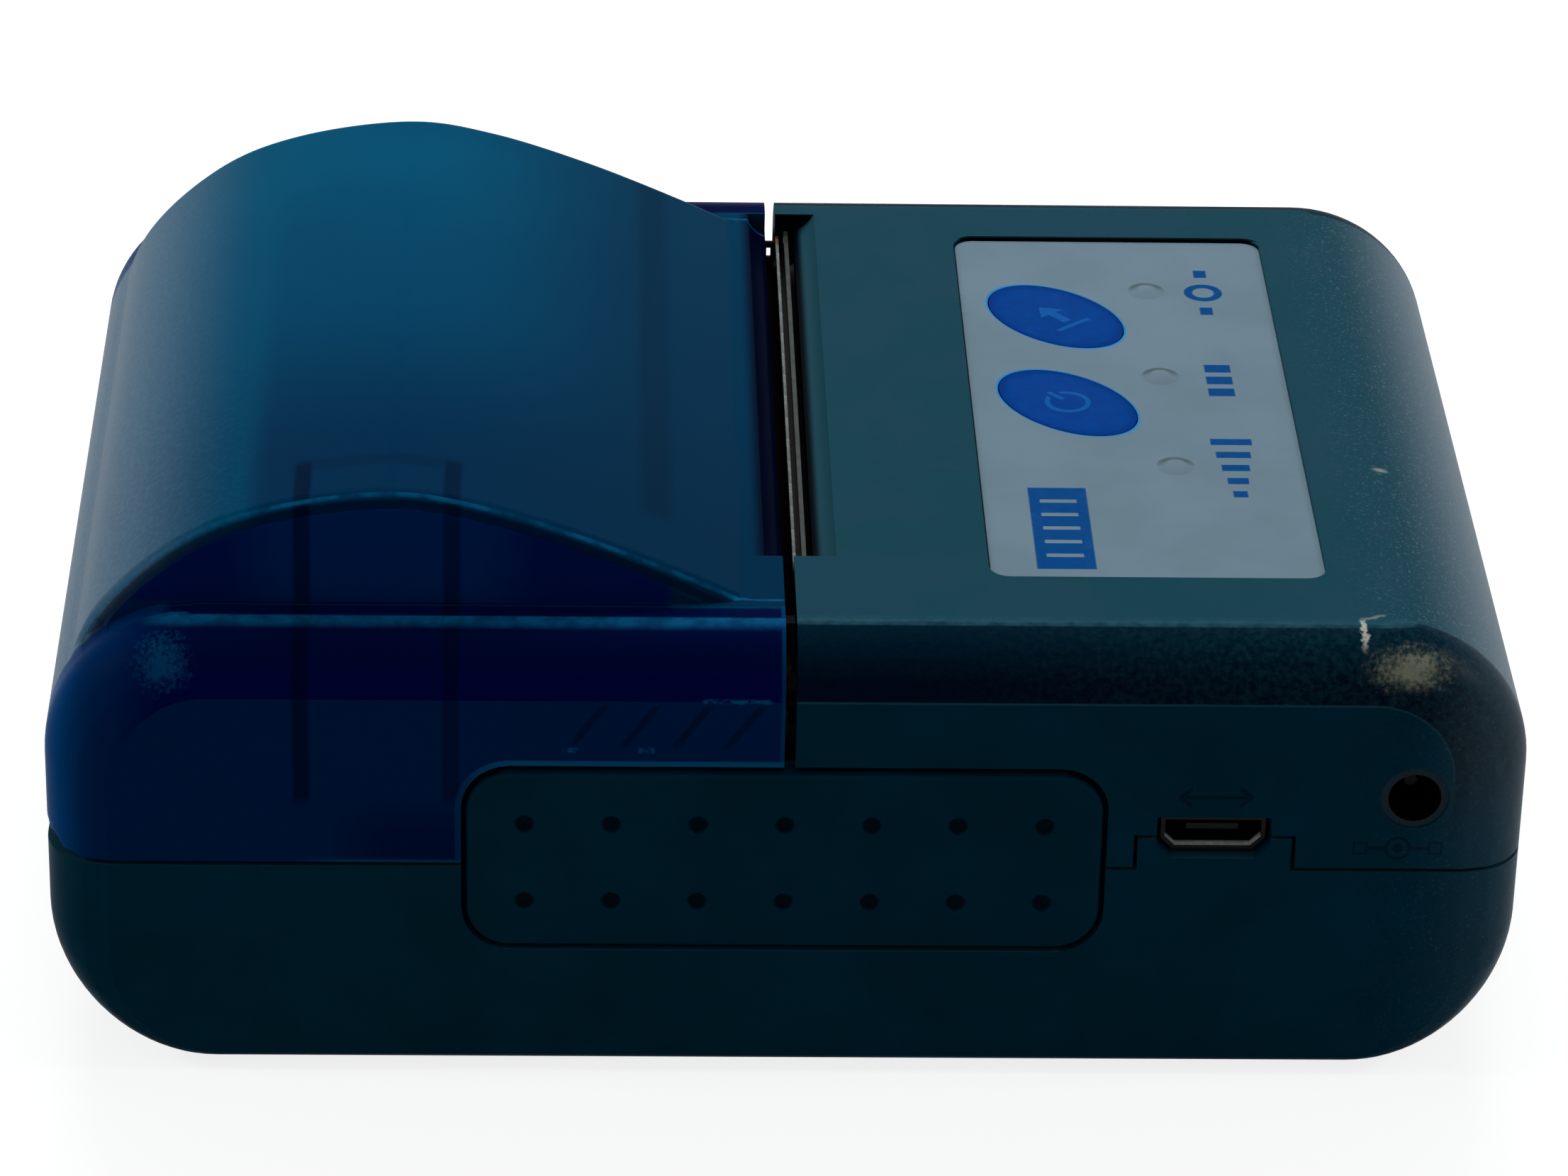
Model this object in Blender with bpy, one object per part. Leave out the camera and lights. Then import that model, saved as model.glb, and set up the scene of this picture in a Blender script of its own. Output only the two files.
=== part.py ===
"""Portable receipt printer, as separate pieces at real size.

Metres, +Z up. X runs along the long side from the hinge end to the control panel, Y from the near side, where
the sockets are, to the far side. The origin is the centre of the resting face. Two dark housings hold the print
mechanism, the boards and the battery. A translucent blue cover swings on the hinge at its low X end and carries
the platen roller. The rest pose has the cover shut.
"""

import math

import bmesh
import bpy
from mathutils import Matrix, Vector

# Overall body
LENGTH = 0.106
WIDTH = 0.077
HEIGHT = 0.0352
WALL = 0.002
FIT = 0.0003
OVERRUN = 0.001
SIDE_FILLET = 0.0046
BASE_FILLET = 0.0015
BASE_CORNER = 0.012
BASE_CORNER_MARGIN = 0.001
END_CORNER = 0.011
LEAST_CORNER = 0.0001
PARTING_DROP = 0.0181
COVER_GAP = 0.00035
SPLIT_GAP = 0.0008
FILLET_STEPS = 4
CORNER_STEPS = 7
ROUND_SIDES = 12
SHARP_ANGLE = math.radians(32)

# Paper hump of the cover
HUMP_LEFT = 0.0006
HUMP_RIGHT = 0.002
HUMP_RISE = 0.0085
HUMP_ROOT_DROP = 0.0092
HUMP_SHOULDER = 0.00625
HUMP_EDGE_ROUND = 0.0013
HUMP_EDGE_STEPS = 2
HUMP_SPAN_STEPS = 3
HUMP_PROFILE_SHARES = (
    (0.0, 0.0),
    (0.055, 0.43),
    (0.17, 0.757),
    (0.30, 0.924),
    (0.47, 1.0),
    (0.60, 0.946),
    (0.75, 0.805),
    (0.90, 0.624),
    (1.0, 0.486),
)

# Cover hinge
BARREL_RADIUS = 0.0022
HINGE_PIN_RADIUS = 0.00095
HINGE_PIN_LENGTH = 0.013
HINGE_EAR_WIDTH = 0.004
HINGE_EAR_INSET = 0.0122
HINGE_EAR_ROOT = 0.006
HINGE_EAR_MARGIN = 0.0002
HINGE_NOTCH_RISE = 0.0038

# Paper slot, which lies nearer the far side because the gears stand beside its near end
SLOT_NEAR_MARGIN = 0.01355
SLOT_FAR_MARGIN = 0.00575
SLOT_LIP_RADIUS = 0.0024
SLOT_LIP_RISE = 0.0008
SLOT_DIP_RADIUS = 0.0032
SLOT_DIP_INSET = 0.0002
SLOT_DIP_RISE = 0.0014
SLOT_RIB_LEFT = 0.0019
SLOT_RIB_WIDTH = 0.0025
SLOT_RIB_DEPTH = 0.0032
SLOT_ARC_STEPS = 5

# Tear bar
TEAR_BAR_THICKNESS = 0.0005
TEAR_BAR_DEPTH = 0.0021
TEAR_BAR_TOP_DROP = 0.0015
TEAR_TOOTH_PITCH = 0.0012
TEAR_TOOTH_HEIGHT = 0.0005

# Platen roller and its bearings, on the cover
PLATEN_RADIUS = 0.0042
PLATEN_INSET = 0.003
PLATEN_DROP = 0.0077
PLATEN_END_CLEARANCE = 0.00035
SHAFT_RADIUS = 0.0014
BUSH_RADIUS = 0.0027
EAR_THICKNESS = 0.0011
EAR_WALL = 0.001
NEAR_EAR_GAP = 0.0006

# Mechanism frame
FRAME_LEFT = 0.0085
FRAME_RIGHT = 0.0112
FRAME_LIFT = 0.0023
FRAME_TOP_DROP = 0.0047
FRAME_PLATE = 0.0012
FRAME_CLEARANCE = 0.0004
GUIDE_THICKNESS = 0.001
GUIDE_GAP = 0.001
FRAME_SCREW_INSET = 0.003
FRAME_SCREW_NEAR = 0.0202
FRAME_SCREW_FAR = 0.0048

# Print head
HEAD_THICKNESS = 0.0025
HEAD_RISE = 0.0037
HEAD_CHAMFER = 0.0006
HEAD_PIVOT_RISE = 0.0013
TRUNNION_RADIUS = 0.0008
HEAD_SPRING_RADIUS = 0.0017
HEAD_SPRING_SPREAD = 0.016
HEAD_SPRING_CURLS = 5
SPRING_WIRE = 0.0004

# Gear train, module and tooth shape as in a small plastic gearbox
GEAR_MODULE = 0.0005
PLATEN_TEETH = 14
IDLER_SMALL_TEETH = 12
IDLER_LARGE_TEETH = 24
PINION_TEETH = 10
GEAR_WIDTH = 0.0016
ADDENDUM_SHARE = 0.8
DEDENDUM_SHARE = 1.05
TOOTH_ROOT_SHARE = 0.60
TOOTH_TIP_SHARE = 0.26
IDLER_STUB_RADIUS = 0.001
PINION_STEEPEST = math.radians(80)

# Motor
MOTOR_RADIUS = 0.0075
MOTOR_LENGTH = 0.0125
MOTOR_FLOOR_GAP = 0.0002
MOTOR_GUIDE_GAP = 0.0006
MOTOR_BOSS_RADIUS = 0.003
MOTOR_SHAFT_RADIUS = 0.00075
MOTOR_SHAFT_DEPTH = 0.006

# Side latch buttons
LATCH_LEFT = 0.023
LATCH_RIGHT = 0.0225
LATCH_BELOW_PARTING = 0.0066
LATCH_ABOVE_PARTING = 0.00805
LATCH_CORNER = 0.0032
LATCH_PLATE = 0.0016
LATCH_EDGE = 0.0003
LATCH_TRAVEL = 0.0012
LATCH_FLANGE = 0.001
LATCH_FLANGE_LENGTH = 0.0105
LATCH_FLANGE_LAP = 0.001
LATCH_SPRING_OFFSET = 0.016
LATCH_SPRING_RADIUS = 0.0016
LATCH_SPRING_CURLS = 3
LATCH_RIB_WIDTH = 0.006
LATCH_RIB_THICKNESS = 0.0012
LATCH_RIB_STAND = 0.0053
DIMPLE_COLUMNS = 7
DIMPLE_PITCH = 0.00618
DIMPLE_ROW_PITCH = 0.00634
DIMPLE_RADIUS = 0.00082
DIMPLE_DEPTH = 0.00045
DIMPLE_DROP = 0.00455
DIMPLE_SIDES = 8

# Ribs inside the cover
BOSS_PLATE = 0.00105
BOSS_RIGHT = 0.0240
BOSS_SPAN_SHARE = 0.3655
BOSS_RISE = 0.0036
BOSS_REACH = 0.0104
CROSS_RIB_X = 0.0095
CROSS_RIB_WIDTH = 0.0015
CROSS_RIB_DEPTH = 0.004
GUSSET_COUNT = 4
GUSSET_PITCH = 0.0037
GUSSET_WIDTH = 0.0009
GUSSET_HEIGHT = 0.0036
GUSSET_SLANT = 0.0026
GUSSET_DEPTH = 0.0015
GUSSET_RIGHT = 0.0035
RECESS_CLEARANCE = 0.0006

# Paper bucket in the lower housing
PARTITION = 0.0012
FAR_PARTITION = 0.0008
BUCKET_MARGIN = 0.0012
BUCKET_FRONT = 0.0105
BUCKET_RIM_DROP = 0.001

# Control panel, its keys and lenses
PANEL_FRAME_GAP = 0.0033
PANEL_RIGHT_INSET = 0.0144
PANEL_NEAR_INSET = 0.0108
PANEL_FAR_INSET = 0.0099
PANEL_CORNER = 0.0015
PANEL_THICKNESS = 0.00045
POCKET_DEPTH = 0.001
POCKET_MARGIN = 0.0001
KEY_LONG = 0.00645
KEY_SHORT = 0.00415
KEY_TURN = math.radians(130.5)
KEY_LEFT_INSET = 0.00727
KEY_FAR_INSET = 0.0135
KEY_PITCH = 0.0148
KEY_GAP = 0.00015
KEY_FLANGE = 0.0008
KEY_FLANGE_THICKNESS = 0.0007
KEY_TRAVEL = 0.0004
KEY_EDGE = 0.0001
LENS_RADIUS = 0.00145
LENS_RISE = 0.00022
LENS_LEFT_INSET = 0.01465
LENS_FAR_INSET = 0.0237
LENS_PITCH = 0.01485
LENS_FOOT = 0.0006
KEY_BOARD_THICKNESS = 0.001
KEY_BOARD_DROP = 0.0048
KEY_BOARD_MARGIN = 0.0015
KEY_BOARD_PAST_LENS = 0.00555
KEY_BOARD_FAR = 0.0025
KEY_BOSS_RADIUS = 0.0018
SWITCH_SIDE = 0.0045
SWITCH_HEIGHT = 0.0022
PLUNGER_RADIUS = 0.0011
OVAL_SIDES = 32

# Main board and sockets
BOARD_LIFT = 0.0011
BOARD_THICKNESS = 0.0016
BOARD_FRAME_GAP = 0.0138
BOARD_RIGHT_INSET = 0.0105
BOARD_TAB_INSET = 0.003
BOARD_TAB_LENGTH = 0.017
BOARD_SIDE_INSET = 0.0027
BOARD_POST_RADIUS = 0.0022
BOARD_POST_LEFT = 0.0026
BOARD_POST_RIGHT = 0.0025
BOARD_POST_SIDE = 0.0072
BOARD_POST_TAB = 0.014
USB_LEFT_INSET = 0.0054
USB_WIDTH = 0.0075
USB_HEIGHT = 0.0027
USB_DEPTH = 0.0055
USB_RECESS = 0.0008
USB_SHELL = 0.0003
USB_CHAMFER = 0.0009
USB_OPENING_MARGIN = 0.00035
TONGUE_LEFT = 0.0054
TONGUE_RIGHT = 0.0056
TONGUE_RISE = 0.00265
JACK_USB_PITCH = 0.0142
JACK_END_INSET = 0.0084
JACK_WIDTH = 0.0085
JACK_HEIGHT = 0.0093
JACK_DEPTH = 0.011
JACK_BODY_INSET = 0.0028
JACK_NOSE_RADIUS = 0.00275
JACK_BORE_RADIUS = 0.0019
JACK_BORE_DEPTH = 0.009
JACK_NOSE_RECESS = 0.0002
JACK_PIN_RADIUS = 0.0005
CABLE_THICKNESS = 0.0003
CABLE_WIDTH = 0.018
CABLE_STEPS = 4
CABLE_SOCKET_LENGTH = 0.003
CABLE_SOCKET_HEIGHT = 0.0016
CABLE_SOCKET_MARGIN = 0.001
SENSOR_LENGTH = 0.003
SENSOR_WIDTH = 0.004
SENSOR_HEIGHT = 0.0016
SENSOR_X = 0.0062

# Battery and its door, which the pack stands on and comes out through
BATTERY_BOARD_GAP = 0.0011
BATTERY_CORNER = 0.0015
DOOR_FRAME_GAP = 0.0018
DOOR_RIGHT_INSET = 0.013
DOOR_SIDE_INSET = 0.0145
DOOR_CORNER = 0.002
DOOR_THICKNESS = 0.0017
LEDGE_WIDTH = 0.0015
LEDGE_END = 0.004
LEDGE_HEIGHT = 0.0034
LEDGE_FRAME = 0.0018
DOOR_SCREW_INSET = 0.002
DOOR_SCREW_SEAT = 0.001
DOOR_SCREW_HEAD_HEIGHT = 0.0009

# Fasteners
SCREW_RADIUS = 0.001
SCREW_HEAD_RADIUS = 0.0018
SCREW_HEAD_HEIGHT = 0.0013
CASE_SCREW_LENGTH = 0.021
SHORT_SCREW_LENGTH = 0.0045
DOOR_SCREW_LENGTH = 0.0022
CASE_POST_RADIUS = 0.0024
CASE_SCREW_BOARD_GAP = 0.003
CASE_SCREW_SIDE = 0.0095
CASE_SCREW_END = 0.0075
CASE_SCREW_NEAR_END = 0.0235
CASE_SCREW_FAR_END = 0.0145
CASE_SCREW_SINK = 0.0028
CASE_POST_GAP = 0.0003

# Places that follow from the sizes above
BOARD_LEFT = FRAME_RIGHT + BOARD_FRAME_GAP
USB_X = BOARD_LEFT + USB_LEFT_INSET
JACK_X = USB_X + JACK_USB_PITCH
RIGHT_END = JACK_X + JACK_END_INSET
LEFT_END = RIGHT_END - LENGTH
NEAR_SIDE = -WIDTH / 2
FAR_SIDE = WIDTH / 2
PARTING_HEIGHT = HEIGHT - PARTING_DROP
LOWER_CORNER = min(BASE_CORNER, PARTING_HEIGHT - BASE_CORNER_MARGIN)
COVER_BOTTOM = PARTING_HEIGHT + COVER_GAP
UPPER_BOTTOM = PARTING_HEIGHT + FIT
HINGE_X = LEFT_END + BARREL_RADIUS
HINGE_Z = COVER_BOTTOM + BARREL_RADIUS
HINGE_EAR_OFFSET = WIDTH / 2 - HINGE_EAR_INSET
SLOT_NEAR = NEAR_SIDE + SLOT_NEAR_MARGIN
SLOT_FAR = FAR_SIDE - SLOT_FAR_MARGIN
SLOT_LENGTH = SLOT_FAR - SLOT_NEAR
PAPER_OFFSET = (SLOT_NEAR + SLOT_FAR) / 2
ROLLER_NEAR = SLOT_NEAR + PLATEN_END_CLEARANCE
ROLLER_FAR = SLOT_FAR - PLATEN_END_CLEARANCE
PLATEN_X = -PLATEN_INSET
PLATEN_Z = HEIGHT - PLATEN_DROP
FRAME_IN_NEAR = ROLLER_NEAR - FRAME_CLEARANCE - FIT
FRAME_IN_FAR = ROLLER_FAR + FRAME_CLEARANCE
FRAME_OUT_NEAR = FRAME_IN_NEAR - FRAME_PLATE
FRAME_OUT_FAR = FRAME_IN_FAR + FRAME_PLATE
FRAME_BOTTOM = WALL + FRAME_LIFT
FRAME_TOP = HEIGHT - FRAME_TOP_DROP
GUIDE_TOP = PLATEN_Z - PLATEN_RADIUS - GUIDE_GAP
MOTOR_LOW = FRAME_BOTTOM + FRAME_PLATE + MOTOR_FLOOR_GAP
MOTOR_HIGH = GUIDE_TOP - GUIDE_THICKNESS - MOTOR_GUIDE_GAP
NEAR_EAR_INNER = FRAME_OUT_NEAR - NEAR_EAR_GAP
NEAR_EAR_OUTER = NEAR_EAR_INNER - 2 * EAR_THICKNESS
FAR_EAR_INNER = FRAME_OUT_FAR + FIT
FAR_EAR_OUTER = FAR_EAR_INNER + EAR_THICKNESS
INNER_GEAR_FAR = NEAR_EAR_OUTER - 2 * FIT
INNER_GEAR_NEAR = INNER_GEAR_FAR - GEAR_WIDTH
OUTER_GEAR_FAR = INNER_GEAR_NEAR - FIT
OUTER_GEAR_NEAR = OUTER_GEAR_FAR - GEAR_WIDTH
HEAD_FACE = PLATEN_X + PLATEN_RADIUS + FIT
HEAD_BACK = HEAD_FACE + HEAD_THICKNESS
HEAD_BOTTOM = GUIDE_TOP + FIT
HEAD_TOP = PLATEN_Z + HEAD_RISE
HEAD_PIVOT_X = HEAD_FACE + HEAD_THICKNESS / 2
HEAD_PIVOT_Z = HEAD_BOTTOM + HEAD_PIVOT_RISE
LATCH_INNER = WIDTH / 2 - LATCH_PLATE
LATCH_LOW = PARTING_HEIGHT - LATCH_BELOW_PARTING
LATCH_HIGH = PARTING_HEIGHT + LATCH_ABOVE_PARTING
BOSS_LEFT = BOSS_RIGHT + BOSS_SPAN_SHARE * (-LEFT_END - BOSS_RIGHT)
BOARD_TOP = PARTING_HEIGHT + BOARD_LIFT
BOARD_BOTTOM = BOARD_TOP - BOARD_THICKNESS
BOARD_NEAR = NEAR_SIDE + BOARD_SIDE_INSET
BOARD_FAR = FAR_SIDE - BOARD_SIDE_INSET
BOARD_RIGHT = RIGHT_END - BOARD_RIGHT_INSET
USB_Z = BOARD_TOP + FIT + USB_HEIGHT / 2
JACK_Z = BOARD_TOP + FIT + JACK_HEIGHT / 2
CASE_SCREW_LEFT = BOARD_LEFT - CASE_SCREW_BOARD_GAP
PANEL_LEFT = FRAME_RIGHT + PANEL_FRAME_GAP
PANEL_RIGHT = RIGHT_END - PANEL_RIGHT_INSET
PANEL_NEAR = NEAR_SIDE + PANEL_NEAR_INSET
PANEL_FAR = FAR_SIDE - PANEL_FAR_INSET
KEY_X = PANEL_LEFT + KEY_LEFT_INSET
KEY_FEED_Y = PANEL_FAR - KEY_FAR_INSET
KEY_POWER_Y = KEY_FEED_Y - KEY_PITCH
LENS_X = PANEL_LEFT + LENS_LEFT_INSET
LENS_Y = PANEL_FAR - LENS_FAR_INSET
POCKET_FLOOR = HEIGHT - POCKET_DEPTH
PANEL_BOTTOM = POCKET_FLOOR + FIT
PANEL_TOP = PANEL_BOTTOM + PANEL_THICKNESS
ROOF_UNDERSIDE = HEIGHT - WALL
KEY_BOARD_TOP = ROOF_UNDERSIDE - KEY_BOARD_DROP
KEY_BOARD_NEAR = max(
    LENS_Y - LENS_PITCH - KEY_BOARD_PAST_LENS,
    NEAR_SIDE + CASE_SCREW_SIDE + CASE_POST_RADIUS + FIT,
)
DOOR_LEFT = FRAME_RIGHT + DOOR_FRAME_GAP
DOOR_RIGHT = RIGHT_END - DOOR_RIGHT_INSET
DOOR_HALF_WIDTH = WIDTH / 2 - DOOR_SIDE_INSET
HUMP_TOP = HEIGHT + HUMP_RISE
HUMP_ROOT = HEIGHT - HUMP_ROOT_DROP
HUMP_HALF_WIDTH = WIDTH / 2 - HUMP_SHOULDER


def place_on_circle(centre, radius, angle):
    """The point of the circle at this angle, in the plane that the centre's two numbers give."""
    return centre[0] + radius * math.cos(angle), centre[1] + radius * math.sin(angle)


def idler_centre():
    """The idler lies straight under the platen as the cover leaves, so the teeth part cleanly."""
    distance = GEAR_MODULE * (PLATEN_TEETH + IDLER_SMALL_TEETH) / 2
    reach = Vector((PLATEN_X - HINGE_X, PLATEN_Z - HINGE_Z)).normalized()
    return PLATEN_X + reach.y * distance, PLATEN_Z - reach.x * distance


def motor_radius():
    """The motor's own radius, or as much as the room under the paper guide holds."""
    return min(MOTOR_RADIUS, (MOTOR_HIGH - MOTOR_LOW) / 2)


def pinion_centre():
    """The motor stands just over the frame's floor, or as low as its pinion still reaches the idler."""
    distance = GEAR_MODULE * (IDLER_LARGE_TEETH + PINION_TEETH) / 2
    drop = min(idler_centre()[1] - MOTOR_LOW - motor_radius(), distance * math.sin(PINION_STEEPEST))
    return place_on_circle(idler_centre(), distance, -math.asin(drop / distance))


def case_screw_places():
    return {
        "left_near": (CASE_SCREW_LEFT, NEAR_SIDE + CASE_SCREW_SIDE),
        "left_far": (CASE_SCREW_LEFT, FAR_SIDE - CASE_SCREW_SIDE),
        "right_near": (RIGHT_END - CASE_SCREW_END, NEAR_SIDE + CASE_SCREW_NEAR_END),
        "right_far": (RIGHT_END - CASE_SCREW_END, FAR_SIDE - CASE_SCREW_FAR_END),
    }


def board_screw_places():
    return {
        "left_near": (BOARD_LEFT + BOARD_POST_LEFT, BOARD_NEAR + BOARD_POST_SIDE),
        "left_far": (BOARD_LEFT + BOARD_POST_LEFT, BOARD_FAR - BOARD_POST_SIDE),
        "tab": (RIGHT_END - BOARD_TAB_INSET - BOARD_POST_RIGHT, BOARD_NEAR + BOARD_POST_TAB),
    }


def frame_screw_places():
    near = FRAME_IN_NEAR + FRAME_SCREW_NEAR
    far = FRAME_IN_FAR - FRAME_SCREW_FAR
    return {"left": (FRAME_SCREW_INSET - FRAME_LEFT, near), "right": (FRAME_RIGHT - FRAME_SCREW_INSET, far)}


def key_screw_places():
    near = KEY_BOARD_NEAR + KEY_BOARD_MARGIN + KEY_BOSS_RADIUS
    far = PANEL_FAR - KEY_BOARD_FAR - KEY_BOSS_RADIUS
    return {"near": (PANEL_RIGHT - KEY_BOSS_RADIUS, near), "far": (PANEL_LEFT + KEY_BOSS_RADIUS, far)}


def lens_places():
    rows = {"near": -1, "middle": 0, "far": 1}
    return {name: (LENS_X, LENS_Y + row * LENS_PITCH) for name, row in rows.items()}


def latch_spring_x():
    return {"left": -LATCH_SPRING_OFFSET, "right": LATCH_SPRING_OFFSET}


def clear_scene():
    for obj in list(bpy.data.objects):
        bpy.data.objects.remove(obj, do_unlink=True)


def finish(name, srgb, roughness, metallic=0.0, transmission=0.0):
    """A plain Principled material; the colour is given as it looks on screen."""
    material = bpy.data.materials.new(name)
    material.use_nodes = True
    shader = material.node_tree.nodes["Principled BSDF"]
    linear = [((c + 0.055) / 1.055) ** 2.4 if c > 0.04045 else c / 12.92 for c in srgb]
    shader.inputs["Base Color"].default_value = (*linear, 1.0)
    shader.inputs["Roughness"].default_value = roughness
    shader.inputs["Metallic"].default_value = metallic
    shader.inputs["Transmission Weight"].default_value = transmission
    material.diffuse_color = (*linear, 1.0)
    return material


def make_materials():
    return {
        "housing": finish("housing_plastic", (0.09, 0.21, 0.24), 0.55),
        "cover": finish("cover_blue_plastic", (0.02, 0.22, 0.36), 0.35, transmission=0.3),
        "panel": finish("panel_film", (0.47, 0.55, 0.58), 0.5),
        "key": finish("key_blue_plastic", (0.0, 0.25, 0.58), 0.4),
        "lens": finish("lens_frosted", (0.55, 0.61, 0.63), 0.35),
        "steel": finish("steel", (0.62, 0.63, 0.64), 0.3, metallic=1.0),
        "spring": finish("spring_wire", (0.5, 0.5, 0.52), 0.3, metallic=1.0),
        "aluminium": finish("aluminium", (0.72, 0.73, 0.74), 0.35, metallic=1.0),
        "rubber": finish("platen_rubber", (0.03, 0.03, 0.03), 0.8),
        "nylon": finish("gear_nylon", (0.86, 0.85, 0.8), 0.5),
        "frame": finish("frame_plastic", (0.08, 0.08, 0.08), 0.6),
        "board": finish("circuit_board", (0.03, 0.25, 0.12), 0.5),
        "component": finish("component_black", (0.05, 0.05, 0.05), 0.5),
        "battery": finish("battery_wrap", (0.1, 0.2, 0.45), 0.35),
        "cable": finish("flat_cable", (0.75, 0.6, 0.3), 0.4),
    }


def new_object(name, mesh, material=None):
    """Turns a bmesh into an object in the scene, with its faces pointing out."""
    bmesh.ops.recalc_face_normals(mesh, faces=mesh.faces)
    data = bpy.data.meshes.new(name)
    mesh.to_mesh(data)
    mesh.free()
    data.shade_smooth()
    data.set_sharp_from_angle(angle=SHARP_ANGLE)
    obj = bpy.data.objects.new(name, data)
    bpy.context.scene.collection.objects.link(obj)
    if material:
        data.materials.append(material)
    return obj


def loft(name, rings, material=None):
    """A closed solid through rings of equally many points, flat at both ends."""
    mesh = bmesh.new()
    loops = [[mesh.verts.new(point) for point in ring] for ring in rings]
    for first, second in zip(loops, loops[1:]):
        for i in range(len(first)):
            j = (i + 1) % len(first)
            mesh.faces.new((first[i], first[j], second[j], second[i]))
    mesh.faces.new(loops[0])
    mesh.faces.new(loops[-1])
    return new_object(name, mesh, material)


def lift(outline, axis, along):
    """The flat outline as points in space, at this place along the axis that it is square to."""
    order = {"X": lambda a, b: (along, a, b), "Y": lambda a, b: (a, along, b), "Z": lambda a, b: (a, b, along)}
    return [order[axis](a, b) for a, b in outline]


def prism(name, outline, axis, low, high, material=None):
    return loft(name, [lift(outline, axis, low), lift(outline, axis, high)], material)


def box(name, x, y, z, material=None):
    """A block between the two ends given for each axis."""
    outline = [(x[0], y[0]), (x[1], y[0]), (x[1], y[1]), (x[0], y[1])]
    return prism(name, outline, "Z", z[0], z[1], material)


def circle(centre, radius, sides=ROUND_SIDES, start=0.0):
    return [place_on_circle(centre, radius, start + math.tau * i / sides) for i in range(sides)]


def arc(centre, radius, start, end, steps):
    return [place_on_circle(centre, radius, start + (end - start) * i / steps) for i in range(steps + 1)]


def oval(centre, margin=0.0):
    """Outline of a key, which is an ellipse turned on the panel."""
    points = []
    for i in range(OVAL_SIDES):
        angle = math.tau * i / OVAL_SIDES
        along = (KEY_LONG + margin) * math.cos(angle)
        across = (KEY_SHORT + margin) * math.sin(angle)
        x = along * math.cos(KEY_TURN) - across * math.sin(KEY_TURN)
        y = along * math.sin(KEY_TURN) + across * math.cos(KEY_TURN)
        points.append((centre[0] + x, centre[1] + y))
    return points


def round_rectangle(left, right, low, high, radii):
    """Outline from the low left corner round; radii go with the corners low left, low right, high right, high left."""
    outline = []
    places = ((left, low, 1, 1), (right, low, -1, 1), (right, high, -1, -1), (left, high, 1, -1))
    for turn, (radius, (x, y, across, up)) in enumerate(zip(radii, places)):
        if radius == 0:
            outline.append((x, y))
            continue
        start = math.pi + turn * math.pi / 2
        centre = (x + across * radius, y + up * radius)
        outline += arc(centre, radius, start, start + math.pi / 2, CORNER_STEPS)
    return outline


def turned(name, profile, centre, axis, material=None, sides=ROUND_SIDES):
    """A turned solid from (radius, along) pairs. A profile that starts off the axis closes on itself, as a ring."""
    mesh = bmesh.new()
    loops = []
    for radius, along in profile:
        outline = circle(centre, radius, sides) if radius else [centre]
        loops.append([mesh.verts.new(point) for point in lift(outline, axis, along)])
    if len(loops[0]) > 1:
        loops.append(loops[0])
    for first, second in zip(loops, loops[1:]):
        for i in range(sides):
            j = (i + 1) % sides
            corners = [first[i % len(first)], first[j % len(first)], second[j % len(second)], second[i % len(second)]]
            mesh.faces.new(list(dict.fromkeys(corners)))
    return new_object(name, mesh, material)


def cylinder(name, centre, axis, radius, low, high, material=None, sides=ROUND_SIDES):
    return prism(name, circle(centre, radius, sides), axis, low, high, material)


def combine(target, operation, helpers):
    """Adds live Booleans; each helper shape rides with the piece that it shapes and stays out of renders."""
    for helper in helpers:
        modifier = target.modifiers.new(helper.name, "BOOLEAN")
        modifier.operation = operation
        modifier.object = helper
        helper.hide_render = True
        helper.display_type = "WIRE"
        helper.parent = target
        helper.matrix_parent_inverse = target.matrix_world.inverted()


def cut(target, *helpers):
    combine(target, "DIFFERENCE", helpers)


def add(target, *helpers):
    combine(target, "UNION", helpers)


def hang_on(pieces, axis_name, place):
    """Gives the pieces one empty on their joint's axis as parent, and puts their own origins there too."""
    empty = bpy.data.objects.new(axis_name, None)
    empty.location = place
    bpy.context.scene.collection.objects.link(empty)
    for piece in pieces:
        if piece.type == "MESH":
            piece.data.transform(Matrix.Translation(-Vector(place)))
            for helper in piece.children:
                helper.location -= Vector(place)
        piece.parent = empty
        if piece.type != "MESH":
            piece.location -= Vector(place)
    return empty


def body_form(name, ends, heights, corners, rounded, shrink=0.0, material=None):
    """A block of the printer's outer form, or of its hollow when shrunk by the wall.

    Its side faces run into the sides named in rounded by a quarter round; the other sides are cut square.
    """
    fillet = SIDE_FILLET - shrink
    base_share = max(BASE_FILLET - shrink, 0.0) / fillet
    quarter = [math.pi / 2 * i / FILLET_STEPS for i in range(FILLET_STEPS + 1)]
    near_rings = []
    for angle in quarter:
        inset = fillet * (1 - math.sin(angle))
        y = NEAR_SIDE + shrink + fillet * (1 - math.cos(angle))
        left = ends[0] + (shrink + inset) * ("left" in rounded)
        right = ends[1] - (shrink + inset) * ("right" in rounded)
        low = heights[0] + (shrink + inset * base_share) * ("bottom" in rounded)
        high = heights[1] - (shrink + inset) * ("top" in rounded)
        radii = [max(radius - shrink - inset, LEAST_CORNER) if radius else 0.0 for radius in corners]
        near_rings.append((y, round_rectangle(left, right, low, high, radii)))
    rings = near_rings + [(-y, outline) for y, outline in reversed(near_rings)]
    return loft(name, [lift(outline, "Y", y) for y, outline in rings], material)


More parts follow.
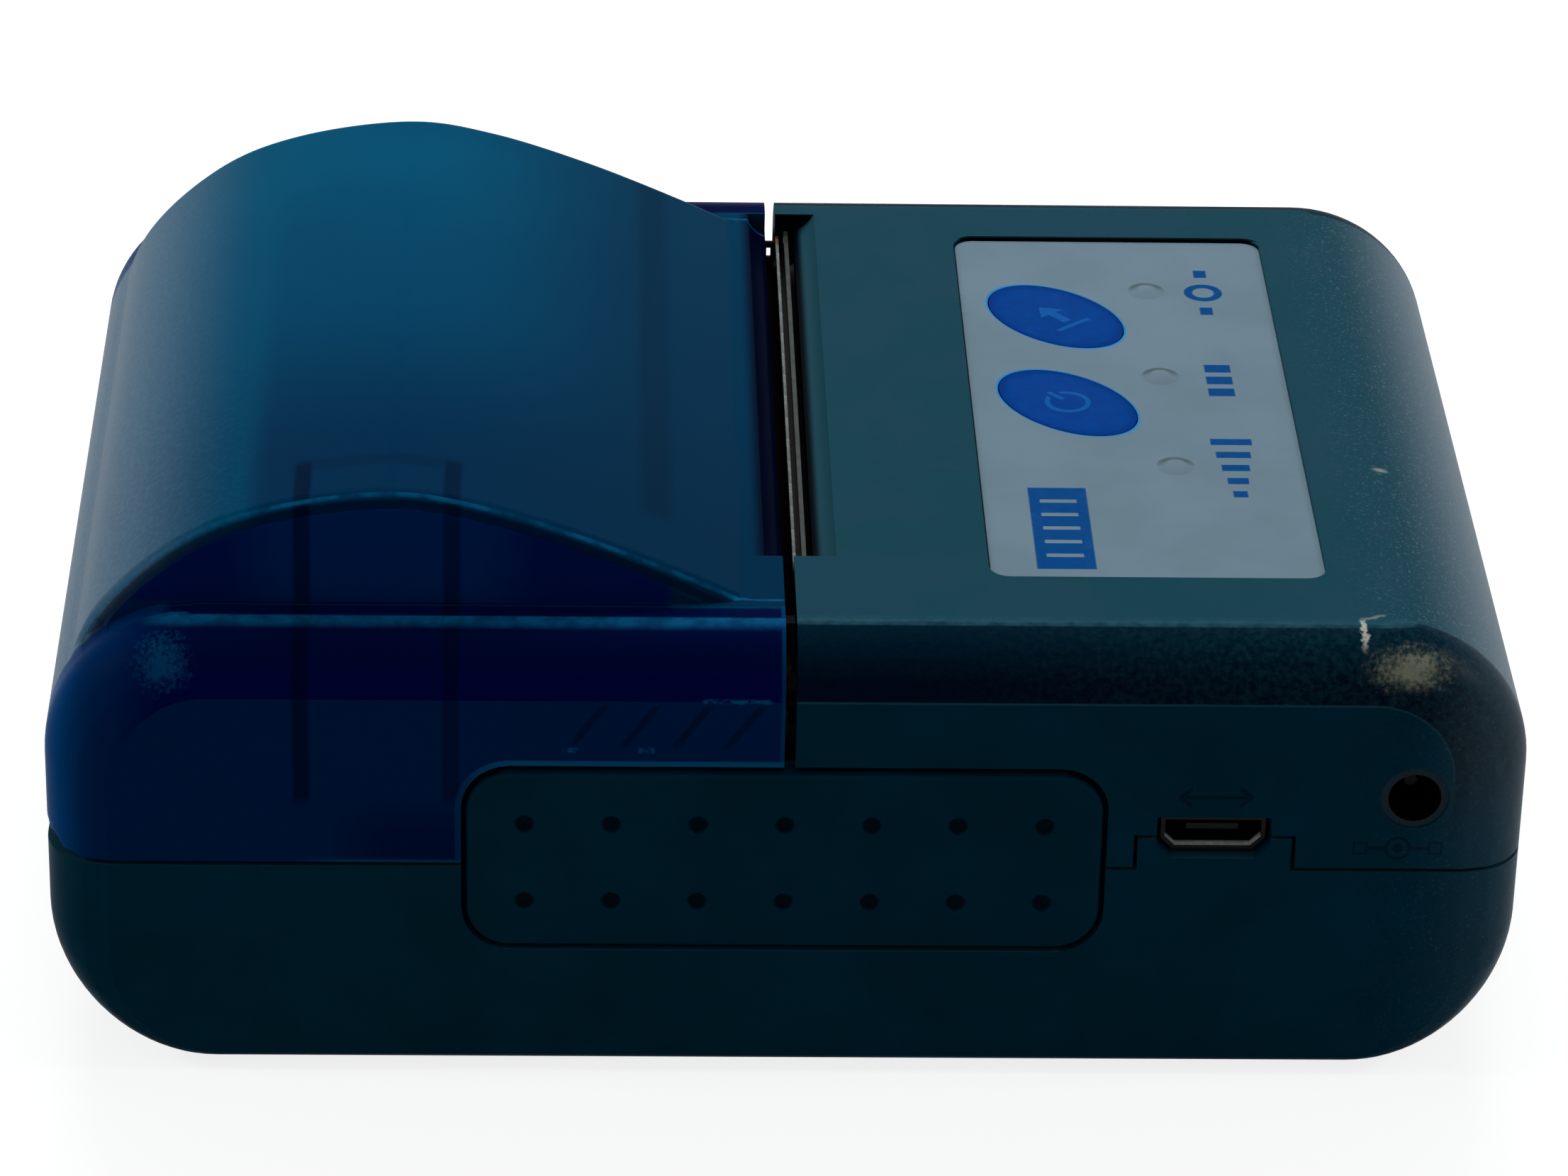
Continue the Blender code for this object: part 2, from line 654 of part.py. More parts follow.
def smooth_through(points, steps):
    """A Catmull-Rom curve through the points."""
    padded = [points[0], *points, points[-1]]
    curve = []
    for before, start, end, after in zip(padded, padded[1:], padded[2:], padded[3:]):
        for i in range(steps):
            t = i / steps
            curve.append(
                tuple(
                    0.5 * (2 * b + (c - a) * t + (2 * a - 5 * b + 4 * c - d) * t * t + (3 * b - a - 3 * c + d) * t**3)
                    for a, b, c, d in zip(before, start, end, after)
                )
            )
    return [*curve, points[-1]]


def hump_curve(inset):
    """The hump's top line in X and Z from the hinge end to the slot, moved inwards by the inset."""
    left = LEFT_END + HUMP_LEFT
    length = -HUMP_RIGHT - left
    height = HUMP_TOP - HUMP_ROOT
    points = [(left + s * length, HUMP_ROOT + t * height) for s, t in HUMP_PROFILE_SHARES]
    curve = smooth_through(points, HUMP_SPAN_STEPS)
    moved = []
    for i, (x, z) in enumerate(curve):
        before, after = curve[max(i - 1, 0)], curve[min(i + 1, len(curve) - 1)]
        run = Vector((after[0] - before[0], after[1] - before[1])).normalized()
        moved.append((x + run.y * inset, z - run.x * inset))
    return moved


def hump_form(name, shrink, root):
    """The hump as a block that stands in the cover's body, its long edges rounded."""
    steps = HUMP_EDGE_STEPS if not shrink else 0
    rings = []
    for i in range(steps + 1):
        angle = math.pi / 2 * (i / steps if steps else 1)
        inset = HUMP_EDGE_ROUND * (1 - math.sin(angle))
        y = HUMP_HALF_WIDTH - shrink - HUMP_EDGE_ROUND * (1 - math.cos(angle)) * bool(steps)
        top = hump_curve(shrink + inset)
        outline = [(top[0][0], root), *top, (top[-1][0], root)]
        rings.append((-y, outline))
    rings += [(-y, outline) for y, outline in reversed(rings)]
    return loft(name, [lift(outline, "Y", y) for y, outline in rings])


def latch_outline(margin):
    radius = LATCH_CORNER + margin
    return round_rectangle(
        -LATCH_LEFT - margin, LATCH_RIGHT + margin, LATCH_LOW - margin, LATCH_HIGH + margin, (radius,) * 4
    )


def latch_openings(name):
    """The window for a latch button in each side wall, shared by the three shells round it."""
    outline = latch_outline(FIT)
    near = prism(name + "_latch_near", outline, "Y", NEAR_SIDE - OVERRUN, NEAR_SIDE + WALL + OVERRUN)
    far = prism(name + "_latch_far", outline, "Y", FAR_SIDE - WALL - OVERRUN, FAR_SIDE + OVERRUN)
    return near, far


def usb_outline(margin):
    """The socket's mouth: wide side up, cut corners below."""
    half = USB_WIDTH / 2 + margin
    low, high = USB_Z - USB_HEIGHT / 2 - margin, USB_Z + USB_HEIGHT / 2 + margin
    left, right, cut_off = USB_X - half, USB_X + half, USB_CHAMFER + margin / 2
    return [
        (left + cut_off, low),
        (right - cut_off, low),
        (right, low + cut_off),
        (right, high),
        (left, high),
        (left, low + cut_off),
    ]


def usb_opening(name):
    return prism(name, usb_outline(USB_OPENING_MARGIN), "Y", NEAR_SIDE - OVERRUN, NEAR_SIDE + WALL + OVERRUN)


def underside_height(x):
    """Height of the outer underside at this place along the body, which curves up at both ends."""
    past = max(x - RIGHT_END, LEFT_END - x) + LOWER_CORNER
    return LOWER_CORNER - math.sqrt(LOWER_CORNER**2 - max(past, 0.0) ** 2)


def post(name, place, radius, low, high):
    return cylinder(name, place, "Z", radius, low, high)


def build_lower_housing(materials):
    body = body_form(
        "lower_housing",
        (LEFT_END, RIGHT_END),
        (0.0, PARTING_HEIGHT),
        (LOWER_CORNER, LOWER_CORNER, 0.0, 0.0),
        ("left", "right", "bottom"),
        material=materials["housing"],
    )
    core = body_form(
        "lower_core",
        (LEFT_END, RIGHT_END),
        (0.0, PARTING_HEIGHT + OVERRUN),
        (LOWER_CORNER, LOWER_CORNER, 0.0, 0.0),
        ("left", "right", "bottom"),
        shrink=WALL,
    )
    keep = []
    for key, place in case_screw_places().items():
        keep.append(post("post_case_" + key, place, CASE_POST_RADIUS, 0.0, PARTING_HEIGHT - CASE_POST_GAP))
    for key, place in board_screw_places().items():
        keep.append(post("post_board_" + key, place, BOARD_POST_RADIUS, 0.0, BOARD_BOTTOM - FIT))
    for key, place in frame_screw_places().items():
        keep.append(post("post_frame_" + key, place, BOARD_POST_RADIUS, 0.0, FRAME_BOTTOM - FIT))
    rim = PARTING_HEIGHT - BUCKET_RIM_DROP
    front = -BUCKET_FRONT
    near_wall = (SLOT_NEAR - BUCKET_MARGIN - PARTITION, SLOT_NEAR - BUCKET_MARGIN)
    far_wall = (SLOT_FAR + FIT, SLOT_FAR + FIT + FAR_PARTITION)
    keep.append(box("rib_bucket_near", (LEFT_END, front), near_wall, (0.0, rim)))
    keep.append(box("rib_bucket_far", (LEFT_END, front), far_wall, (0.0, rim)))
    keep.append(box("rib_bucket_front", (front - PARTITION, front), (near_wall[0], far_wall[1]), (0.0, rim)))
    for key, x in latch_spring_x().items():
        span = (x - LATCH_RIB_WIDTH / 2, x + LATCH_RIB_WIDTH / 2)
        inner = NEAR_SIDE + WALL + LATCH_RIB_STAND
        keep.append(box("rib_latch_near_" + key, span, (inner, inner + LATCH_RIB_THICKNESS), (0.0, rim)))
    span = (LATCH_SPRING_OFFSET - LATCH_RIB_WIDTH / 2, LATCH_SPRING_OFFSET + LATCH_RIB_WIDTH / 2)
    inner = FAR_SIDE - WALL - LATCH_RIB_STAND
    keep.append(box("rib_latch_far", span, (inner - LATCH_RIB_THICKNESS, inner), (0.0, rim)))
    ledge = DOOR_HALF_WIDTH + LEDGE_FRAME
    keep.append(
        box("rib_ledge", (DOOR_LEFT - LEDGE_FRAME, DOOR_RIGHT + LEDGE_FRAME), (-ledge, ledge), (0.0, LEDGE_HEIGHT))
    )
    cut(core, *keep)
    cut(body, core)

    ear_radius = BARREL_RADIUS - HINGE_EAR_MARGIN
    root = PARTING_HEIGHT - HINGE_EAR_ROOT
    ear = [*arc((HINGE_X, HINGE_Z), ear_radius, 0.0, math.pi, CORNER_STEPS + 2)]
    ear = [(HINGE_X + ear_radius, root), *ear, (HINGE_X - ear_radius, root)]
    for side in (-1, 1):
        label = "near" if side < 0 else "far"
        middle = side * HINGE_EAR_OFFSET
        edges = (middle - HINGE_EAR_WIDTH / 2, middle + HINGE_EAR_WIDTH / 2)
        add(body, prism("ear_" + label, ear, "Y", *edges))
        bore = (edges[0] - OVERRUN, edges[1] + OVERRUN)
        cut(body, cylinder("bore_ear_" + label, (HINGE_X, HINGE_Z), "Y", HINGE_PIN_RADIUS + FIT, *bore))
    tongue_x = (USB_X - TONGUE_LEFT, USB_X + TONGUE_RIGHT)
    add(
        body,
        box(
            "tongue",
            tongue_x,
            (NEAR_SIDE, NEAR_SIDE + WALL - FIT),
            (PARTING_HEIGHT - OVERRUN, PARTING_HEIGHT + TONGUE_RISE),
        ),
    )
    cut(body, usb_opening("opening_usb_lower"), *latch_openings("lower"))
    cut(
        body,
        box(
            "opening_battery",
            (DOOR_LEFT + LEDGE_WIDTH, DOOR_RIGHT - LEDGE_WIDTH),
            (LEDGE_END - DOOR_HALF_WIDTH, DOOR_HALF_WIDTH - LEDGE_END),
            (-OVERRUN, LEDGE_HEIGHT + OVERRUN),
        ),
        prism("recess_door", door_outline(FIT), "Z", -OVERRUN, DOOR_THICKNESS + FIT),
    )
    for key, place in door_screw_places().items():
        cut(body, post("bore_door_" + key, place, SCREW_RADIUS + FIT, 0.0, LEDGE_HEIGHT + OVERRUN))
    for key, place in case_screw_places().items():
        seat = underside_height(place[0]) + CASE_SCREW_SINK
        cut(body, post("bore_case_" + key, place, SCREW_RADIUS + FIT, 0.0, PARTING_HEIGHT + OVERRUN))
        cut(body, post("sink_case_" + key, place, SCREW_HEAD_RADIUS + FIT, -OVERRUN, seat))
    for key, place in board_screw_places().items():
        top = BOARD_BOTTOM + OVERRUN
        cut(body, post("bore_board_" + key, place, SCREW_RADIUS + FIT, top - SHORT_SCREW_LENGTH, top))
    for key, place in frame_screw_places().items():
        cut(body, post("bore_frame_" + key, place, SCREW_RADIUS + FIT, WALL / 2, FRAME_BOTTOM + OVERRUN))
    return body


def door_outline(margin=0.0):
    half = DOOR_HALF_WIDTH + margin
    return round_rectangle(DOOR_LEFT - margin, DOOR_RIGHT + margin, -half, half, (DOOR_CORNER + margin,) * 4)


def door_screw_places():
    x = (DOOR_LEFT + DOOR_RIGHT) / 2
    y = DOOR_HALF_WIDTH - DOOR_SCREW_INSET
    return {"near": (x, -y), "far": (x, y)}


def build_upper_housing(materials):
    left = SPLIT_GAP / 2
    corners = (0.0, 0.0, END_CORNER, 0.0)
    body = body_form(
        "upper_housing",
        (left, RIGHT_END),
        (UPPER_BOTTOM, HEIGHT),
        corners,
        ("right", "top"),
        material=materials["housing"],
    )
    core = body_form(
        "upper_core",
        (left - OVERRUN, RIGHT_END),
        (UPPER_BOTTOM - OVERRUN, HEIGHT),
        corners,
        ("right", "top"),
        shrink=WALL,
    )
    keep = []
    for key, place in case_screw_places().items():
        keep.append(post("post_upper_" + key, place, CASE_POST_RADIUS, UPPER_BOTTOM + FIT, HEIGHT))
    for key, place in key_screw_places().items():
        keep.append(post("post_key_" + key, place, KEY_BOSS_RADIUS, KEY_BOARD_TOP + FIT, HEIGHT))
    rib = (SLOT_RIB_LEFT, SLOT_RIB_LEFT + SLOT_RIB_WIDTH)
    keep.append(box("rib_slot", rib, (SLOT_NEAR, SLOT_FAR), (HEIGHT - SLOT_RIB_DEPTH, HEIGHT)))
    cut(core, *keep)
    cut(body, core)

    dip_centre = (left + SLOT_DIP_INSET, HEIGHT + SLOT_DIP_RISE)
    start = -math.acos((SLOT_RIB_LEFT - dip_centre[0]) / SLOT_DIP_RADIUS)
    end = -math.asin(SLOT_DIP_RISE / SLOT_DIP_RADIUS)
    dip = arc(dip_centre, SLOT_DIP_RADIUS, start, end, SLOT_ARC_STEPS)
    low = HEIGHT - SLOT_RIB_DEPTH - OVERRUN
    slot = [(-left, low), (SLOT_RIB_LEFT, low), *dip, (dip[-1][0], HEIGHT + OVERRUN), (-left, HEIGHT + OVERRUN)]
    cut(body, prism("opening_slot", slot, "Y", SLOT_NEAR, SLOT_FAR))
    pocket = round_rectangle(
        PANEL_LEFT - POCKET_MARGIN,
        PANEL_RIGHT + POCKET_MARGIN,
        PANEL_NEAR - POCKET_MARGIN,
        PANEL_FAR + POCKET_MARGIN,
        (PANEL_CORNER,) * 4,
    )
    cut(body, prism("pocket_panel", pocket, "Z", POCKET_FLOOR, HEIGHT + OVERRUN))
    cut(body, *panel_holes("housing", ROOF_UNDERSIDE - OVERRUN))
    tongue_x = (USB_X - TONGUE_LEFT - FIT, USB_X + TONGUE_RIGHT + FIT)
    wall = (NEAR_SIDE - OVERRUN, NEAR_SIDE + WALL + OVERRUN)
    top = PARTING_HEIGHT + TONGUE_RISE + FIT
    cut(body, box("notch_tongue", tongue_x, wall, (UPPER_BOTTOM - OVERRUN, top)))
    cut(body, usb_opening("opening_usb_upper"), *latch_openings("upper"))
    cut(body, cylinder("opening_jack", (JACK_X, JACK_Z), "Y", JACK_NOSE_RADIUS + FIT, *wall, sides=2 * ROUND_SIDES))
    for key, place in case_screw_places().items():
        tip = underside_height(place[0]) + CASE_SCREW_SINK + CASE_SCREW_LENGTH + FIT
        cut(body, post("bore_upper_" + key, place, SCREW_RADIUS + FIT, UPPER_BOTTOM - OVERRUN, tip))
    for key, place in key_screw_places().items():
        tip = KEY_BOARD_TOP + SHORT_SCREW_LENGTH
        cut(body, post("bore_key_" + key, place, SCREW_RADIUS + FIT, KEY_BOARD_TOP - OVERRUN, tip))
    return body


def panel_holes(label, low):
    """Holes for the two keys and the three lenses, through whatever lies above this height."""
    holes = []
    for key, y in (("feed", KEY_FEED_Y), ("power", KEY_POWER_Y)):
        holes.append(prism(f"hole_{label}_{key}", oval((KEY_X, y), KEY_GAP), "Z", low, HEIGHT + OVERRUN))
    for key, place in lens_places().items():
        holes.append(post(f"hole_{label}_lens_{key}", place, LENS_RADIUS + KEY_GAP, low, HEIGHT + OVERRUN))
    return holes


def build_control_panel(materials):
    outline = round_rectangle(PANEL_LEFT, PANEL_RIGHT, PANEL_NEAR, PANEL_FAR, (PANEL_CORNER,) * 4)
    panel = prism("control_panel", outline, "Z", PANEL_BOTTOM, PANEL_TOP, materials["panel"])
    cut(panel, *panel_holes("panel", PANEL_BOTTOM - OVERRUN))
    return panel


def build_key(name, y, materials):
    """A key stands in its oval hole, held by a flange under the roof, and moves down onto its switch."""
    flange_top = ROOF_UNDERSIDE - FIT
    flange_bottom = flange_top - KEY_FLANGE_THICKNESS
    centre = (KEY_X, y)
    rings = [
        lift(oval(centre, KEY_FLANGE), "Z", flange_bottom),
        lift(oval(centre, KEY_FLANGE), "Z", flange_top),
        lift(oval(centre), "Z", flange_top),
        lift(oval(centre), "Z", PANEL_TOP - KEY_EDGE),
        lift(oval(centre, -KEY_EDGE), "Z", PANEL_TOP),
    ]
    key = loft(name, rings, materials["key"])
    hang_on([key], name + "_axis", (KEY_X, y, PANEL_TOP))
    return key


def build_key_board(materials):
    left, right = PANEL_LEFT - KEY_BOARD_MARGIN, PANEL_RIGHT + KEY_BOARD_MARGIN
    far = PANEL_FAR - KEY_BOARD_FAR
    top = KEY_BOARD_TOP
    thickness = (top - KEY_BOARD_THICKNESS, top)
    board = box("key_board", (left, right), (KEY_BOARD_NEAR, far), thickness, materials["board"])
    for key, place in key_screw_places().items():
        low, high = top - KEY_BOARD_THICKNESS - OVERRUN, top + OVERRUN
        cut(board, post("bore_key_board_" + key, place, SCREW_RADIUS + FIT, low, high))
    for name, y in (("feed_switch", KEY_FEED_Y), ("power_switch", KEY_POWER_Y)):
        half = SWITCH_SIDE / 2
        base = top + FIT
        flange_bottom = ROOF_UNDERSIDE - FIT - KEY_FLANGE_THICKNESS
        switch = box(
            name,
            (KEY_X - half, KEY_X + half),
            (y - half, y + half),
            (base, base + SWITCH_HEIGHT),
            materials["component"],
        )
        plunger = (base + SWITCH_HEIGHT / 2, flange_bottom - KEY_TRAVEL - FIT)
        add(switch, post("plunger_" + name, (KEY_X, y), PLUNGER_RADIUS, *plunger))
    for key, (x, y) in lens_places().items():
        foot = LENS_RADIUS + LENS_FOOT
        flange = ROOF_UNDERSIDE - FIT
        profile = [
            (0.0, top + FIT),
            (LENS_RADIUS, top + FIT),
            (LENS_RADIUS, flange - LENS_FOOT),
            (foot, flange - LENS_FOOT),
            (foot, flange),
            (LENS_RADIUS, flange),
            (LENS_RADIUS, PANEL_TOP),
            (LENS_RADIUS * math.cos(math.pi / 6), PANEL_TOP + LENS_RISE / 2),
            (LENS_RADIUS * math.cos(math.pi / 3), PANEL_TOP + LENS_RISE * math.sin(math.pi / 3)),
            (0.0, PANEL_TOP + LENS_RISE),
        ]
        turned("led_lens_" + key, profile, (x, y), "Z", materials["lens"])


def cover_core():
    """The hollow of the cover. The ribs, ears and plates are left standing where it is cut away."""
    core = body_form(
        "cover_core",
        (LEFT_END, -SPLIT_GAP / 2 + OVERRUN),
        (COVER_BOTTOM - OVERRUN, HEIGHT),
        (0.0, 0.0, 0.0, END_CORNER),
        ("left", "top"),
        shrink=WALL,
    )
    add(core, hump_form("hump_core", WALL, HUMP_ROOT - WALL))
    roof = HUMP_TOP
    near = NEAR_SIDE
    inner = NEAR_SIDE + WALL + BOSS_REACH
    bottom = COVER_BOTTOM + BOSS_RISE
    left_plate = (-BOSS_LEFT - BOSS_PLATE / 2, -BOSS_LEFT + BOSS_PLATE / 2)
    right_plate = (-BOSS_RIGHT - BOSS_PLATE / 2, -BOSS_RIGHT + BOSS_PLATE / 2)
    keep = [
        box("plate_left", left_plate, (near, inner), (bottom, roof)),
        box("plate_right", right_plate, (near, inner), (bottom, roof)),
        box("plate_inner", (left_plate[0], right_plate[1]), (inner - BOSS_PLATE, inner), (bottom, roof)),
    ]
    rib_x = (-CROSS_RIB_X - CROSS_RIB_WIDTH / 2, -CROSS_RIB_X + CROSS_RIB_WIDTH / 2)
    keep.append(box("rib_cross", rib_x, (SLOT_NEAR, SLOT_FAR), (HEIGHT - CROSS_RIB_DEPTH, roof)))
    foot = LATCH_HIGH + FIT + RECESS_CLEARANCE
    for i in range(GUSSET_COUNT):
        right = -GUSSET_RIGHT - i * GUSSET_PITCH
        top = foot + GUSSET_HEIGHT
        outline = [
            (right - GUSSET_SLANT - GUSSET_WIDTH, foot),
            (right - GUSSET_SLANT, foot),
            (right, top),
            (right - GUSSET_WIDTH, top),
        ]
        keep.append(prism(f"gusset_near_{i}", outline, "Y", near, near + WALL + GUSSET_DEPTH))
        keep.append(prism(f"gusset_far_{i}", outline, "Y", -near - WALL - GUSSET_DEPTH, -near))
    ear = BUSH_RADIUS + FIT + EAR_WALL
    low_arc = arc((PLATEN_X, PLATEN_Z), ear, math.pi, math.tau, 2 * CORNER_STEPS)
    outline = [(PLATEN_X - ear, HEIGHT), *low_arc, (-SPLIT_GAP, PLATEN_Z), (-SPLIT_GAP, HEIGHT)]
    keep.append(prism("ear_near_plate", outline, "Y", NEAR_EAR_OUTER, NEAR_EAR_INNER))
    keep.append(prism("ear_far_plate", outline, "Y", FAR_EAR_INNER, FAR_EAR_OUTER))
    cut(core, *keep)
    return core


def build_cover(materials):
    right = -SPLIT_GAP / 2
    cover = body_form(
        "paper_cover",
        (LEFT_END, right),
        (COVER_BOTTOM, HEIGHT),
        (BARREL_RADIUS, 0.0, 0.0, END_CORNER),
        ("left", "top"),
        material=materials["cover"],
    )
    add(cover, hump_form("hump_outside", 0.0, HUMP_ROOT - WALL / 2))
    cut(cover, cover_core())
    axis = (HINGE_X, HINGE_Z)
    half = WIDTH / 2 - SIDE_FILLET
    add(cover, cylinder("barrel", axis, "Y", BARREL_RADIUS, -half, half))
    for side in (-1, 1):
        label = "near" if side < 0 else "far"
        middle = side * HINGE_EAR_OFFSET
        notch = HINGE_EAR_WIDTH / 2 + FIT
        cut(
            cover,
            box(
                "notch_hinge_" + label,
                (LEFT_END - OVERRUN, HINGE_X + BARREL_RADIUS + FIT),
                (middle - notch, middle + notch),
                (COVER_BOTTOM - OVERRUN, HINGE_Z + HINGE_NOTCH_RISE),
            ),
        )
        reach = HINGE_PIN_LENGTH / 2 + FIT
        cut(
            cover,
            cylinder("bore_hinge_" + label, axis, "Y", HINGE_PIN_RADIUS + FIT, middle - reach, middle + reach),
        )
    lip_centre = (SPLIT_GAP / 2, HEIGHT + SLOT_LIP_RISE)
    start = math.pi + math.asin(SLOT_LIP_RISE / SLOT_LIP_RADIUS)
    end = math.pi + math.acos((lip_centre[0] - right) / SLOT_LIP_RADIUS)
    lip = arc(lip_centre, SLOT_LIP_RADIUS, start, end, SLOT_ARC_STEPS)
    top = HEIGHT + OVERRUN
    outline = [(lip[0][0], top), *lip, (lip_centre[0], lip[-1][1]), (lip_centre[0], top)]
    cut(cover, prism("dip_lip", outline, "Y", SLOT_NEAR, SLOT_FAR))
    cut(cover, *latch_openings("cover"))
    bush_hole = (BUSH_RADIUS + FIT, NEAR_EAR_OUTER - OVERRUN, FAR_EAR_OUTER + OVERRUN)
    cut(cover, cylinder("bore_bush", (PLATEN_X, PLATEN_Z), "Y", *bush_hole))
    return cover


def build_platen(materials):
    """Roller, shaft, drive gear and the two bushes that the cover's ears hold."""
    centre = (PLATEN_X, PLATEN_Z)
    near_bush = (NEAR_EAR_OUTER, ROLLER_NEAR - FIT)
    far_bush = (ROLLER_FAR + FIT, FAR_EAR_OUTER)
    shaft = cylinder(
        "platen_shaft", centre, "Y", SHAFT_RADIUS, INNER_GEAR_NEAR, FAR_EAR_OUTER, materials["steel"]
    )
    bore = SHAFT_RADIUS + FIT
    roller = ring(
        "platen_roller", centre, PLATEN_RADIUS, bore, ROLLER_NEAR, ROLLER_FAR, materials["rubber"], 2 * ROUND_SIDES
    )
    bushes = [
        ring("platen_bush_near", centre, BUSH_RADIUS, bore, *near_bush, materials["nylon"]),
        ring("platen_bush_far", centre, BUSH_RADIUS, bore, *far_bush, materials["nylon"]),
    ]
    towards_idler = math.atan2(idler_centre()[1] - PLATEN_Z, idler_centre()[0] - PLATEN_X)
    half_tooth = math.pi / PLATEN_TEETH
    gear = gear_wheel(
        "platen_gear",
        PLATEN_TEETH,
        centre,
        towards_idler + half_tooth,
        (INNER_GEAR_NEAR, INNER_GEAR_FAR),
        materials["nylon"],
    )
    cut(gear, cylinder("bore_platen_gear", centre, "Y", bore, INNER_GEAR_NEAR - OVERRUN, INNER_GEAR_FAR + OVERRUN))
    return shaft, roller, gear, bushes


def ring(name, centre, outer, inner, low, high, material, sides=ROUND_SIDES):
    profile = [(outer, low), (outer, high), (inner, high), (inner, low)]
    return turned(name, profile, centre, "Y", material, sides)


def gear_wheel(name, teeth, centre, phase, span, material=None):
    """A spur gear with straight-sided teeth; one tooth points along the phase angle."""
    pitch = GEAR_MODULE * teeth / 2
    root = pitch - DEDENDUM_SHARE * GEAR_MODULE
    tip = pitch + ADDENDUM_SHARE * GEAR_MODULE
    step = math.tau / teeth
    outline = []
    for i in range(teeth):
        middle = phase + i * step
        for radius, offset in (
            (root, -TOOTH_ROOT_SHARE / 2),
            (tip, -TOOTH_TIP_SHARE / 2),
            (tip, TOOTH_TIP_SHARE / 2),
            (root, TOOTH_ROOT_SHARE / 2),
        ):
            outline.append(place_on_circle(centre, radius, middle + offset * step))
    return prism(name, outline, "Y", *span, material)


def build_gear_train(materials):
    """Compound idler on a stub of the frame, and the motor's pinion with its shaft."""
    idler = idler_centre()
    pinion = pinion_centre()
    to_platen = math.atan2(PLATEN_Z - idler[1], PLATEN_X - idler[0])
    to_pinion = math.atan2(pinion[1] - idler[1], pinion[0] - idler[0])
    large_phase = to_pinion + math.pi / IDLER_LARGE_TEETH
    wheel = gear_wheel(
        "idler_gear", IDLER_LARGE_TEETH, idler, large_phase, (OUTER_GEAR_NEAR, OUTER_GEAR_FAR), materials["nylon"]
    )
    small_span = (OUTER_GEAR_FAR - GEAR_WIDTH / 2, INNER_GEAR_FAR)
    add(wheel, gear_wheel("idler_small", IDLER_SMALL_TEETH, idler, to_platen, small_span))
    bore = (OUTER_GEAR_NEAR - OVERRUN, INNER_GEAR_FAR + OVERRUN)
    cut(wheel, cylinder("bore_idler", idler, "Y", IDLER_STUB_RADIUS + FIT, *bore))
    driver = gear_wheel(
        "motor_pinion",
        PINION_TEETH,
        pinion,
        to_pinion + math.pi,
        (OUTER_GEAR_NEAR, OUTER_GEAR_FAR),
        materials["steel"],
    )
    shaft_end = FRAME_IN_NEAR + FIT + MOTOR_SHAFT_DEPTH
    add(driver, cylinder("pinion_shaft", pinion, "Y", MOTOR_SHAFT_RADIUS, OUTER_GEAR_FAR - GEAR_WIDTH / 2, shaft_end))
    hang_on([wheel], "idler_axis", (idler[0], OUTER_GEAR_NEAR, idler[1]))
    hang_on([driver], "pinion_axis", (pinion[0], OUTER_GEAR_NEAR, pinion[1]))
    return wheel, driver


def build_motor(materials):
    centre = pinion_centre()
    face = FRAME_IN_NEAR + FIT
    bore = MOTOR_SHAFT_RADIUS + FIT
    profile = [
        (bore, FRAME_OUT_NEAR),
        (MOTOR_BOSS_RADIUS, FRAME_OUT_NEAR),
        (MOTOR_BOSS_RADIUS, face),
        (motor_radius(), face),
        (motor_radius(), face + MOTOR_LENGTH),
        (0.0, face + MOTOR_LENGTH),
        (0.0, face + MOTOR_SHAFT_DEPTH + FIT),
        (bore, face + MOTOR_SHAFT_DEPTH + FIT),
    ]
    outside = [(0.0, profile[0][1]), *profile[1:6]]
    motor = turned("platen_motor", outside, centre, "Y", materials["steel"], 2 * ROUND_SIDES)
    cut(motor, cylinder("bore_motor", centre, "Y", bore, FRAME_OUT_NEAR - OVERRUN, face + MOTOR_SHAFT_DEPTH + FIT))
    return motor


